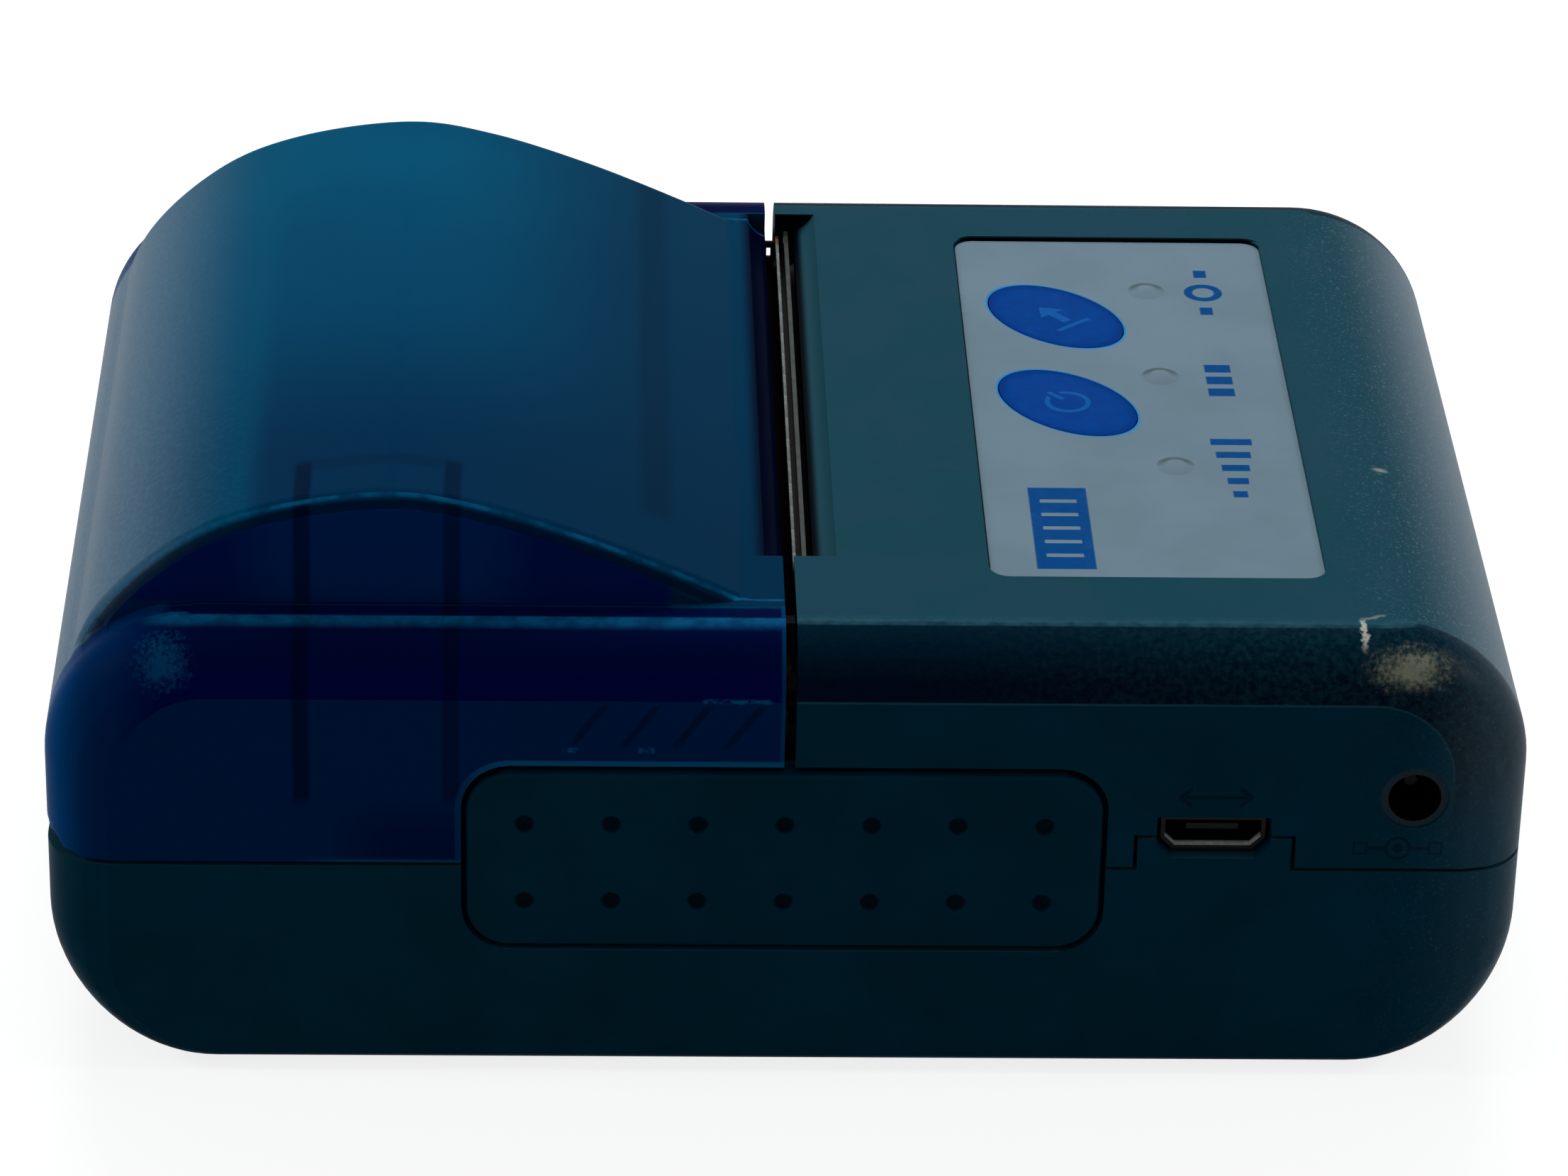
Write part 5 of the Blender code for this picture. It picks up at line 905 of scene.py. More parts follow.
@dataclass(frozen=True)
class LensPlastic(Moulded):
    """The lenses, clouded as the film is, with a soft dark crescent on the far side."""

    crescent: Colour = linear(76, 92, 98)

    def paint(self, graph: Graph) -> None:
        """Adds the crescents and the faint drift to a graph."""
        x, y, _ = graph.axes
        tone = self.tone(graph)
        for row in Lens.rows.values():
            along = y - Lens.middle(row)
            arc = (x - Lens.x).reach(along).band(0.75, 1.4, 0.35) * along.step(-0.4, 0.7)
            tone = graph.mix(arc, tone, self.crescent)
        self.surface(graph, tone, 0.1)


@dataclass(frozen=True)
class Metal(Finish):
    """Stamped or drawn metal with fine lines along one axis."""

    roughness: float = 0.32
    stretch: Triple = (1.0, 0.04, 1.0)
    dirt: float = 0.25
    depth: float = 0.006

    def paint(self, graph: Graph) -> None:
        """Adds the brushed lines and the dull patches to a graph."""
        lines = graph.noise(9.0, 3.0, self.stretch)
        patches = graph.noise(0.8, 3.0).step(0.35, 0.7)
        graph.set(
            Base_Color=graph.mix(patches, self.colour, shade(self.colour, 1 - self.dirt)),
            Metallic=1.0,
            Roughness=self.roughness + (lines - 0.5) * 0.25 + patches * 0.08,
        )
        graph.bump(lines, self.depth)


@dataclass(frozen=True)
class PortMetal(Metal):
    """The USB socket: black as painted shade, with painted light only on the floor and the slopes inside.
    """

    lit: Colour = linear(236, 236, 230)

    def paint(self, graph: Graph) -> None:
        """Adds the painted shade on the rims and the painted light on the floor to a graph."""
        _, y, z = graph.axes
        uneven = graph.noise(2.0, 3.0).step(0.3, 0.7)
        # painted light on the faces inside that face up; the rest stays black as painted shade
        floor = graph.facing_up.step(0.2, 0.5) * z.step(20.8, 20.5) * y.step(-36.9, -37.3)
        graph.set(
            Base_Color=graph.mix(floor * (0.7 + uneven * 0.3), self.colour, self.lit),
            Metallic=0.0,
            Roughness=self.roughness + uneven * 0.1,
            Specular_IOR_Level=0.1,
        )
        graph.bump(uneven, self.depth)


@dataclass(frozen=True)
class TearMetal(Metal):
    """The tear bar: dull steel, with painted light along its toothed lip, painted shade in its groove, and
    a brown cable's end at the far end.
    """

    lip: Colour = linear(150, 158, 156)
    brown: Colour = linear(146, 104, 72)
    soot: Colour = linear(8, 8, 8)

    def paint(self, graph: Graph) -> None:
        """Adds the painted light on the lip, the brown end, the painted shade in the groove and the stains
        to a graph.
        """
        x, y, z = graph.axes
        stains = graph.noise(1.2, 4.0).step(0.35, 0.7)
        lines = graph.noise(9.0, 3.0, self.stretch)
        tone = graph.mix(stains, self.colour, shade(self.colour, 1 - self.dirt))
        # painted light along the raised lip
        lip = x.step(0.95, 0.85)
        tone = graph.mix(lip * (0.75 + stains * 0.25), tone, self.lip)
        tone = graph.mix(lip * y.step(31.2, 31.5), tone, self.brown)
        # painted shade in the groove below the lip
        tone = graph.mix(z.step(33.0, 32.7), tone, self.soot)
        graph.set(Base_Color=tone, Metallic=0.3, Roughness=self.roughness + (lines - 0.5) * 0.2)
        graph.bump(lines, self.depth)


@dataclass(frozen=True)
class Rubber(Finish):
    """The platen's black rubber, ground round."""

    dust: Colour = linear(52, 52, 54)

    def paint(self, graph: Graph) -> None:
        """Adds the grinding lines and the dust to a graph."""
        lines = graph.noise(6.0, 2.0, (0.3, 4.0, 0.3))
        dusty = graph.noise(1.4, 4.0).step(0.55, 0.8)
        graph.set(
            Base_Color=graph.mix(dusty * 0.3, self.colour, self.dust),
            Roughness=0.78 + (lines - 0.5) * 0.2,
            Specular_IOR_Level=0.25,
        )
        graph.bump(lines, 0.01)


@dataclass(frozen=True)
class BoardLacquer(Finish):
    """A circuit board: tracks under green lacquer, tinned pads and printed frames."""

    track: Colour = linear(22, 92, 58)
    pad: Colour = linear(196, 190, 176)
    grid: float = 1.27

    def paint(self, graph: Graph) -> None:
        """Adds the tracks, the pads and the lacquer's gloss to a graph."""
        x, y, _ = graph.axes
        inputs = {"Vector": graph.place, "Scale": 0.28}
        cells = graph.node("ShaderNodeTexVoronoi", {"distance": "MANHATTAN"}, inputs)
        tracks = graph.maths("PINGPONG", Value(graph, cells.outputs[0]) * 6.0, 0.5).step(0.2, 0.3)
        column, row = (abs(graph.maths("PINGPONG", way, self.grid) - 0.64) for way in (x, y))
        some = graph.noise(0.22, 1.0, at=7.0).step(0.56, 0.6)
        pads = column.most(row).step(0.3, 0.24) * some
        tone = graph.mix(pads, graph.mix(tracks, self.colour, self.track), self.pad)
        graph.set(Base_Color=tone, Metallic=pads * 0.8, Roughness=0.32 + tracks * 0.06)
        graph.bump(tracks * 0.5 + pads, 0.03)


@dataclass(frozen=True)
class Wrap(Finish):
    """The battery's shrink film, wrinkled and glossy."""

    def paint(self, graph: Graph) -> None:
        """Adds the wrinkles to a graph."""
        folds = graph.noise(0.5, 4.0, (1.0, 0.3, 1.0))
        graph.set(
            Base_Color=graph.mix(folds.step(0.35, 0.7), shade(self.colour, 0.7), self.colour),
            Roughness=0.28 + folds * 0.2,
            Specular_IOR_Level=0.5,
        )
        graph.bump(folds, 0.15)


@dataclass(frozen=True)
class FlatCable(Finish):
    """A flat cable: parallel conductors in clear film."""

    wire: Colour = linear(190, 176, 150)
    stain: Colour = linear(120, 110, 96)

    def paint(self, graph: Graph) -> None:
        """Adds the conductors to a graph."""
        _, y, _ = graph.axes
        wires = graph.maths("PINGPONG", y, 0.5).step(0.2, 0.3)
        uneven = graph.noise(1.0, 3.0).step(0.4, 0.7)
        tone = graph.mix(wires, self.colour, self.wire)
        graph.set(Base_Color=graph.mix(uneven * 0.25, tone, self.stain), Roughness=0.35 + wires * 0.1)
        graph.bump(wires, 0.05)


HOUSING = HousingPlastic("housing_plastic", linear(0, 50, 68), roughness=0.42, specular=0.01, drift=0.12)
BUTTON = ButtonPlastic("button_plastic", linear(0, 48, 66), roughness=0.42, specular=0.01, drift=0.1)
COVER = CoverPlastic(
    "cover_plastic", linear(0, 40, 88), roughness=0.36, specular=0.005, grain=5.0, depth=0.006
)
FILM = PanelFilm("panel_film", linear(108, 129, 142), roughness=0.5, specular=0.02, depth=0.004, drift=0.05)
FEED_KEY, POWER_KEY = (
    KeyPlastic(
        f"{name}_key_plastic",
        linear(0, 58, 134),
        roughness=0.45,
        specular=0.01,
        y_centre=y_centre,
        power=name == "power",
    )
    for name, y_centre in KeyOval.rows.items()
)
LENS = LensPlastic(
    "lens_plastic", linear(108, 129, 141), roughness=0.5, specular=0.02, depth=0.002, drift=0.05
)
STEEL = Metal("steel", linear(196, 188, 172))
SPRING = Metal("spring_steel", linear(170, 172, 176), roughness=0.25, stretch=(1.0, 1.0, 1.0))
ALUMINIUM = Metal("aluminium", linear(184, 186, 190), roughness=0.36, stretch=(1.0, 1.0, 0.05))
RUBBER = Rubber("platen_rubber", linear(14, 14, 16))
GEAR = Moulded(
    "gear_plastic", linear(222, 219, 208), roughness=0.42, specular=0.45, depth=0.006, drift=0.04
)
# painted shade: the gears deep in the slot are made dark for the shade they sit in
SHADED_GEAR = Moulded(
    "dark_gear_plastic", linear(20, 21, 24), roughness=0.45, specular=0.3, depth=0.006, drift=0.1
)
FRAME = Moulded("frame_plastic", linear(30, 32, 36), roughness=0.55, specular=0.35, drift=0.15)
BOARD = BoardLacquer("circuit_board", linear(8, 56, 34))
BLACK = Moulded("component_black", linear(10, 11, 13), roughness=0.4, specular=0.45, depth=0.008, drift=0.2)
JACK = JackPlastic("jack_plastic", linear(3, 3, 4), roughness=0.5, specular=0.1, depth=0.006, drift=0.2)
PORT = PortMetal("port_shell", linear(6, 6, 7), roughness=0.45, depth=0.004)
TEAR = TearMetal("tear_bar_steel", linear(74, 83, 78), roughness=0.4, dirt=0.35)
BATTERY = Wrap("battery_wrap", linear(32, 74, 120))
CABLE = FlatCable("flat_cable", linear(226, 220, 204))
SLOT_FINISHES = (
    (HOUSING, BUTTON, COVER, FILM, LENS, STEEL, SPRING, ALUMINIUM)
    + (RUBBER, GEAR, FRAME, BOARD, BLACK, BATTERY, CABLE)
)


class Piece:
    """A mesh of the object in the making, in millimetres."""

    def __init__(self, name: str) -> None:
        """Starts an empty piece.

        Args:
            name: The finished object's name.
        """
        self.name = name
        self.mesh = bmesh.new()

    @classmethod
    def of_node(cls, name: str, node: str) -> "Piece":
        """A merged copy of a node of the frame.

        Args:
            name: The piece's name.
            node: The node's name.

        Returns:
            The copy, with its flat faces whole.
        """
        piece = cls(name)
        piece.mesh.from_mesh(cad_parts[node].data)
        bmesh.ops.scale(piece.mesh, verts=piece.mesh.verts, vec=(1 / MM,) * 3)
        bmesh.ops.remove_doubles(piece.mesh, verts=piece.mesh.verts, dist=MERGED)
        bmesh.ops.dissolve_limit(
            piece.mesh, angle_limit=FLAT_ANGLE, verts=piece.mesh.verts, edges=piece.mesh.edges
        )
        return piece

    def round_off(self, geom: list, kind: Rounding, radius: float, steps: int) -> None:
        """Rounds corners or edges.

        Args:
            geom: The vertices or the edges.
            kind: Which of them they are.
            radius: The rounding's radius.
            steps: Faces across it.
        """
        bmesh.ops.bevel(
            self.mesh,
            geom=geom,
            offset=radius,
            offset_type="OFFSET",
            affect=kind.value,
            segments=steps,
            profile=0.5,
            material=-1,
        )

    def plate(self, corners: Sequence[Vector], radius: float = 0.0, steps: int = 1) -> bmesh.types.BMFace:
        """Adds a flat face, with rounded corners where a radius is given.

        Args:
            corners: Its corners in order.
            radius: Radius of each corner.
            steps: Faces round each corner.

        Returns:
            The face.
        """
        points = [self.mesh.verts.new(corner) for corner in corners]
        self.mesh.faces.new(points)
        if radius > 0:
            self.round_off(points, Rounding.CORNERS, radius, steps)
        self.mesh.faces.ensure_lookup_table()
        return self.mesh.faces[-1]

    def push(self, face: bmesh.types.BMFace, along: Vector) -> list[bmesh.types.BMVert]:
        """Pushes a face out into a block.

        Args:
            face: The face, which stays as the block's back.
            along: How far and which way.

        Returns:
            The vertices of the moved end.
        """
        made = bmesh.ops.extrude_face_region(self.mesh, geom=[face], use_keep_orig=True)["geom"]
        moved = only(bmesh.types.BMVert, made)
        bmesh.ops.translate(self.mesh, verts=moved, vec=along)
        return moved

    def turned(self, profile: Sequence[Flat], centre: Vector, axis: Axis, steps: int) -> None:
        """Adds a turned form.

        Args:
            profile: Radius and place along the axis, from one pole to the other.
            centre: A point of the axis.
            axis: The axis.
            steps: Faces round it.
        """
        side = Axis.Z if axis is not Axis.Z else Axis.X
        places = [centre + axis.vector(along) + side.vector(radius) for radius, along in profile]
        points = [self.mesh.verts.new(place) for place in places]
        edges = [self.mesh.edges.new(pair) for pair in zip(points, points[1:])]
        bmesh.ops.spin(
            self.mesh,
            geom=points + edges,
            cent=centre,
            axis=axis.vector(),
            angle=math.tau,
            steps=steps,
            use_merge=True,
        )
        bmesh.ops.remove_doubles(self.mesh, verts=self.mesh.verts, dist=MERGED)

    def soften(self, width: float, chosen: Callable[[bmesh.types.BMVert], bool], steps: int = 2) -> None:
        """Rounds the edges whose two ends are chosen.

        Args:
            width: Radius.
            chosen: Says whether a vertex is at such an end.
            steps: Faces across the rounding.
        """
        edges = [edge for edge in self.mesh.edges if len(edge.link_faces) == 2]
        edges = [edge for edge in edges if all(chosen(vert) for vert in edge.verts)]
        if edges:
            self.round_off(edges, Rounding.EDGES, width, steps)

    def cut_off(self, place: Vector, direction: Vector) -> None:
        """Takes away what lies past a plane and closes the cut.

        Args:
            place: A point of the plane.
            direction: Which way the part lies that goes.
        """
        made = bmesh.ops.bisect_plane(
            self.mesh,
            geom=[*self.mesh.verts, *self.mesh.edges, *self.mesh.faces],
            dist=MERGED,
            plane_co=place,
            plane_no=direction,
            clear_outer=True,
        )
        bmesh.ops.contextual_create(self.mesh, geom=only(bmesh.types.BMEdge, made["geom_cut"]))

    def take(self, other: "Piece") -> None:
        """Takes in another piece's mesh.

        Args:
            other: The piece, which is used up.
        """
        data = bpy.data.meshes.new(other.name)
        other.mesh.to_mesh(data)
        other.mesh.free()
        self.mesh.from_mesh(data)
        bpy.data.meshes.remove(data)

    def close(self) -> None:
        """Merges doubles and turns the faces outwards."""
        bmesh.ops.remove_doubles(self.mesh, verts=self.mesh.verts, dist=MERGED)
        bmesh.ops.recalc_face_normals(self.mesh, faces=self.mesh.faces)

    def placed(self, name: Optional[str] = None) -> bpy.types.Object:
        """The piece as an object of the scene, in metres.

        Args:
            name: Its name, if it isn't the piece's own.

        Returns:
            The object.
        """
        data = bpy.data.meshes.new(name or self.name)
        bmesh.ops.scale(self.mesh, verts=self.mesh.verts, vec=(MM,) * 3)
        self.mesh.to_mesh(data)
        self.mesh.free()
        made = bpy.data.objects.new(name or self.name, data)
        bpy.context.scene.collection.objects.link(made)
        return made

    def without(self, *cutters: "Piece") -> None:
        """Cuts other pieces out of this one.

        Args:
            cutters: The pieces, which are used up.
        """
        target = self.placed(self.name + "_blank")
        helpers = [cutter.placed() for cutter in cutters]
        for helper in helpers:
            change = target.modifiers.new("cut", "BOOLEAN")
            change.operation = "DIFFERENCE"
            change.solver = "EXACT"
            change.object = helper
        graph = bpy.context.evaluated_depsgraph_get()
        result = bpy.data.meshes.new_from_object(target.evaluated_get(graph))
        self.mesh = bmesh.new()
        self.mesh.from_mesh(result)
        bmesh.ops.scale(self.mesh, verts=self.mesh.verts, vec=(1 / MM,) * 3)
        bpy.data.meshes.remove(result)
        for used in [target, *helpers]:
            data = used.data
            bpy.data.objects.remove(used)
            bpy.data.meshes.remove(data)

    def finish(
        self,
        body: str,
        finish: Finish,
        slot: str,
        nodes: Sequence[str],
        sharp: float = 30.0,
        weighted: bool = False,
    ) -> bpy.types.Object:
        """Hands the piece to the scene.

        Args:
            body: The body that it rides on.
            finish: Its finish.
            slot: The record's slot of that finish, which is not used.
            nodes: The nodes that it stands for.
            sharp: Angle in degrees over which an edge stays sharp.
            weighted: Whether large faces lead the shading.

        Returns:
            The object.
        """
        made = self.placed()
        made.data.shade_smooth()
        made.data.set_sharp_from_angle(angle=math.radians(sharp))
        made.data.materials.clear()
        made.data.materials.append(finish.material())
        if weighted:
            change = made.modifiers.new("weighted", "WEIGHTED_NORMAL")
            change.keep_sharp = True
            change.weight = 80
        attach(made, body)
        if nodes:
            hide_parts(*nodes)
        LOG.info("%s: %d faces on %s", made.name, len(made.data.polygons), body)
        return made


class RoundForm:
    """An exact rounded surface, on which the coarse faces of a shell are made fine."""

    near: float = 0.2
    sliver: float = 0.004

    def off(self, point: Vector) -> tuple[float, Vector]:
        """Where a point lies against the surface.

        Args:
            point: The point.

        Returns:
            How far it lies outside, or FAR_OFF where nothing is round, and the direction outwards.
        """
        raise NotImplementedError

    def cuts(self) -> list[tuple[Vector, Vector]]:
        """The planes that split the coarse rounds, as a point and a direction each."""
        raise NotImplementedError

    def meets(self, centre: Vector, place: Vector, direction: Vector) -> bool:
        """Whether a plane splits a face.

        Args:
            centre: The face's middle.
            place: The plane's point.
            direction: The plane's direction.

        Returns:
            True if it does.
        """
        raise NotImplementedError

    def lies_on(self, point: Vector) -> bool:
        """Whether a point lies on the rounded surface, or just under it."""
        return -self.near < self.off(point)[0] < self.near / 4

    def refine(self, piece: "Piece") -> None:
        """Splits a shell's coarse rounds and puts their vertices on the exact surface.

        Args:
            piece: The merged copy of a shell.
        """
        mesh = piece.mesh
        chosen = {face for face in mesh.faces if all(self.lies_on(vert.co) for vert in face.verts)}
        for place, direction in self.cuts():
            crossing = []
            for face in chosen:
                if not face.is_valid or not self.meets(face.calc_center_median(), place, direction):
                    continue
                sides = [(vert.co - place).dot(direction) for vert in face.verts]
                if min(sides) < -self.sliver and max(sides) > self.sliver:
                    crossing.append(face)
            if not crossing:
                continue
            parts = set(crossing)
            for face in crossing:
                parts.update(face.edges)
                parts.update(face.verts)
            made = bmesh.ops.bisect_plane(
                mesh, geom=list(parts), dist=MERGED, plane_co=place, plane_no=direction
            )
            chosen = {face for face in chosen if face.is_valid}
            chosen.update(only(bmesh.types.BMFace, made["geom"]))
        for vert in mesh.verts:
            if any(face in chosen for face in vert.link_faces):
                distance, outwards = self.off(vert.co)
                if -self.near < distance < self.near / 4:
                    vert.co -= outwards * distance


def round_inset(y: float, half: float, radius: float) -> float:
    """How far a quarter round at the side faces stands in at this Y.

    Args:
        y: The place.
        half: Half the width over the side faces.
        radius: The round's radius.

    Returns:
        The inset, 0 between the rounds.
    """
    depth = min(max(radius - (half - abs(y)), 0.0), radius)
    return radius - math.sqrt(radius**2 - depth**2)


def along_edges(half: float, radius: float, steps: int) -> list[tuple[Vector, Vector]]:
    """The planes that split the rounds at both side faces.

    Args:
        half: Half the width over the side faces.
        radius: The rounds' radius.
        steps: Faces across each round.

    Returns:
        A point and a direction for each plane.
    """
    places = [half - radius * (1 - math.cos(angle)) for angle in quarter(steps)[1:-1]]
    return [(Axis.Y.vector(side * y), Axis.Y.vector()) for y in places for side in (1, -1)]


@dataclass(frozen=True)
class OuterForm(RoundForm):
    """The exact outer surface of the body."""

    half_length: float = 53.0
    half_width: float = 38.5
    height: float = 35.2
    side_fillet: float = 4.6
    base_fillet: float = 1.5
    top_corner: float = 11.0
    base_corner: float = 12.0
    fillet_steps: int = 16
    corner_steps: int = 21

    def off(self, point: Vector) -> tuple[float, Vector]:
        """Where a point lies against the body's rounded surface.

        Args:
            point: The point.

        Returns:
            How far it lies outside, or FAR_OFF where nothing is round, and the direction outwards.
        """
        inset = round_inset(point.y, self.half_width, self.side_fillet)
        up = 1.0 if point.z > self.height / 2 else -1.0
        corner = self.top_corner if up > 0 else self.base_corner
        radius = corner - inset
        if up > 0:
            edge = self.height - inset
            middle = edge - radius
        else:
            edge = inset * self.base_fillet / self.side_fillet
            middle = edge + radius
        side = 1.0 if point.x > 0 else -1.0
        across = abs(point.x) - (self.half_length - corner)
        rise = (point.z - middle) * up
        if across > 0 and rise > 0:
            reach = math.hypot(across, rise)
            return reach - radius, Vector((side * across / reach, 0.0, up * rise / reach))
        if inset <= 0:
            return FAR_OFF, Vector()
        over = (point.z - edge) * up
        past = abs(point.x) - (self.half_length - inset)
        if abs(over) < abs(past):
            return over, Vector((0.0, 0.0, up))
        return past, Vector((side, 0.0, 0.0))

    def cuts(self) -> list[tuple[Vector, Vector]]:
        """The planes that split the coarse rounds of the side faces and the four corners.

        Returns:
            A point and a direction for each plane.
        """
        planes = along_edges(self.half_width, self.side_fillet, self.fillet_steps)
        for corner, up in ((self.top_corner, 1), (self.base_corner, -1)):
            height = self.height - corner if up > 0 else corner
            for angle in quarter(self.corner_steps)[1:-1]:
                for side in (1, -1):
                    centre = Vector((side * (self.half_length - corner), 0.0, height))
                    planes.append((centre, Vector((-math.sin(angle) * up * side, 0.0, math.cos(angle)))))
        return planes

    def meets(self, centre: Vector, place: Vector, direction: Vector) -> bool:
        """Whether a plane splits a face: a plane along Y only at its own end and corner.

        Args:
            centre: The face's middle.
            place: The plane's point.
            direction: The plane's direction.

        Returns:
            True if it does.
        """
        if abs(direction.y) > 0.5:
            return True
        if centre.x * place.x < 0 or abs(centre.x) < abs(place.x) - 0.01:
            return False
        return (centre.z - self.height / 2) * (place.z - self.height / 2) >= 0


@dataclass(frozen=True)
class HumpForm(RoundForm):
    """The exact outer surface of the cover's hump: a curve in X and Z with rounded long edges."""

    left: float = -52.4
    right: float = -2.0
    root: float = 26.0
    top: float = 43.7
    half_width: float = 32.25
    edge_round: float = 1.3
    coarse_steps: int = 3
    finer: int = 4
    round_steps: int = 12
    reach: float = 2.5
    profile_shares: tuple[tuple[float, float], ...] = (
        (0.0, 0.0),
        (0.055, 0.43),
        (0.17, 0.757),
        (0.30, 0.924),
        (0.47, 1.0),
        (0.60, 0.946),
        (0.75, 0.805),
        (0.90, 0.624),
        (1.0, 0.486),
    )

    @cached_property
    def curve(self) -> list[Vector]:
        """The hump's top line, as a smooth curve through its points.

        Returns:
            Its points from the hinge end to the slot, in X and Z.
        """
        across, rise = self.right - self.left, self.top - self.root
        points = []
        for along, up in self.profile_shares:
            points.append(Vector((self.left + along * across, 0.0, self.root + up * rise)))
        padded = [points[0], *points, points[-1]]
        steps = self.coarse_steps * self.finer
        made = []
        for a, b, c, d in zip(padded, padded[1:], padded[2:], padded[3:]):
            slope, bend, twist = c - a, 2 * a - 5 * b + 4 * c - d, 3 * b - a - 3 * c + d
            for i in range(steps):
                t = i / steps
                point = 2 * b + slope * t + bend * t * t + twist * t**3
                made.append(Vector((point.x / 2, 0.0, min(point.z / 2, self.top))))
        return [*made, points[-1]]

    def off(self, point: Vector) -> tuple[float, Vector]:
        """Where a point lies against the hump's surface.

        Args:
            point: The point.

        Returns:
            How far it lies outside, or FAR_OFF past the side walls, and the direction outwards.
        """
        if abs(point.y) > self.half_width + self.near / 10 or point.z < self.root:
            return FAR_OFF, Vector()
        flat = Vector((point.x, 0.0, point.z))
        least, nearest, outwards = FAR_OFF, None, None
        for start, end in zip(self.curve, self.curve[1:]):
            run = end - start
            share = min(max((flat - start).dot(run) / run.length_squared, 0.0), 1.0)
            gap = flat - (start + run * share)
            if gap.length < least:
                run.normalize()
                least, nearest, outwards = gap.length, gap, Vector((-run.z, 0.0, run.x))
        return nearest.dot(outwards) + round_inset(point.y, self.half_width, self.edge_round), outwards

    def cuts(self) -> list[tuple[Vector, Vector]]:
        """The planes across the top line and those along the rounded edges.

        Returns:
            A point and a direction for each plane.
        """
        planes = []
        for i in range(1, len(self.curve) - 1):
            if i % self.finer:
                planes.append((self.curve[i], (self.curve[i + 1] - self.curve[i - 1]).normalized()))
        return planes + along_edges(self.half_width, self.edge_round, self.round_steps)

    def meets(self, centre: Vector, place: Vector, direction: Vector) -> bool:
        """Whether a plane splits a face: a plane across the top line only close to its own point."""
        return abs(direction.y) > 0.5 or math.hypot(centre.x - place.x, centre.z - place.z) < self.reach


OUTER = OuterForm()
HUMP = HumpForm()


@dataclass
class Housing:
    """The lower and the upper housing, with what closes their openings."""

    ring_inner: float = 2.45
    ring_outer: float = 3.12
    ring_edge: float = 0.06
    ring_sink: float = 0.02
    web_low: Flat = (-0.33, 28.9)
    web_high: Flat = (0.4, 32.6)
    web_y: float = 33.0
    web_depth: float = 0.3
    window_low: Flat = (-0.22, 31.3)
    window_high: Flat = (0.1, 32.1)
    window_lap: float = 1.0

    def shell(self, node: str) -> None:
        """Makes a shell with fine rounds.

        Args:
            node: The shell's node.
        """
        piece = Piece.of_node(node + "_shell", node)
        OUTER.refine(piece)
        piece.finish("base", HOUSING, "housing_plastic", [node], sharp=24.0, weighted=True)

    def jack_surround(self) -> None:
        """Makes the flush ring that closes the wall round the power socket."""
        low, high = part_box("dc_jack")
        centre = Vector(((low.x + high.x) / 2 / MM, 0.0, (low.z + high.z) / 2 / MM))
        front, back = -OUTER.half_width + self.ring_sink, low.y / MM - self.ring_sink
        profile = [
            (self.ring_inner, back),
            (self.ring_inner, front + self.ring_edge),
            (self.ring_inner + self.ring_edge, front),
            (self.ring_outer, front),
            (self.ring_outer, back),
            (self.ring_inner, back),
        ]
        piece = Piece("jack_surround")
        piece.turned(profile, centre, Axis.Y, steps=64)
        piece.close()
        piece.finish("base", HOUSING, "housing_plastic", [])

    def upright(self, name: str, low: Flat, high: Flat, y: float, depth: float) -> Piece:
        """A block pushed out along Y from an upright rectangle.

        Args:
            name: The piece's name.
            low: Its lowest X and Z.
            high: Its highest X and Z.
            y: Where it starts.
            depth: How far it reaches.

        Returns:
            The block.
        """
        piece = Piece(name)
        corners = [Vector((x, y, z)) for x, z in rectangle(low, high)]
        piece.push(piece.plate(corners), Axis.Y.vector(depth))
        piece.close()
        return piece

    def slot_end(self) -> None:
        """Makes the black web, a sheet of painted shade, with a small window that closes the gap at the
        slot's far end.
        """
        web = self.upright("slot_end_web", self.web_low, self.web_high, self.web_y, self.web_depth)
        start, depth = self.web_y - self.window_lap, self.web_depth + 2 * self.window_lap
        web.without(self.upright("window", self.window_low, self.window_high, start, depth))
        # the web is black as painted shade
        web.finish("base", BLACK, "frame_plastic", [])

    def build(self) -> None:
        """Makes both shells, the ring round the power socket and the web at the slot's end."""
        self.shell("lower_housing")
        self.shell("upper_housing")
        self.jack_surround()
        self.slot_end()


@dataclass
class PaperCover:
    """The translucent cover with its hump."""

    forms: tuple[RoundForm, ...] = (OUTER, HUMP)

    def build(self) -> None:
        """Makes the cover and dresses it."""
        piece = Piece.of_node("paper_cover_shell", "paper_cover")
        for form in self.forms:
            form.refine(piece)
        piece.finish("cover", COVER, "cover_plastic", ["paper_cover"], weighted=True)


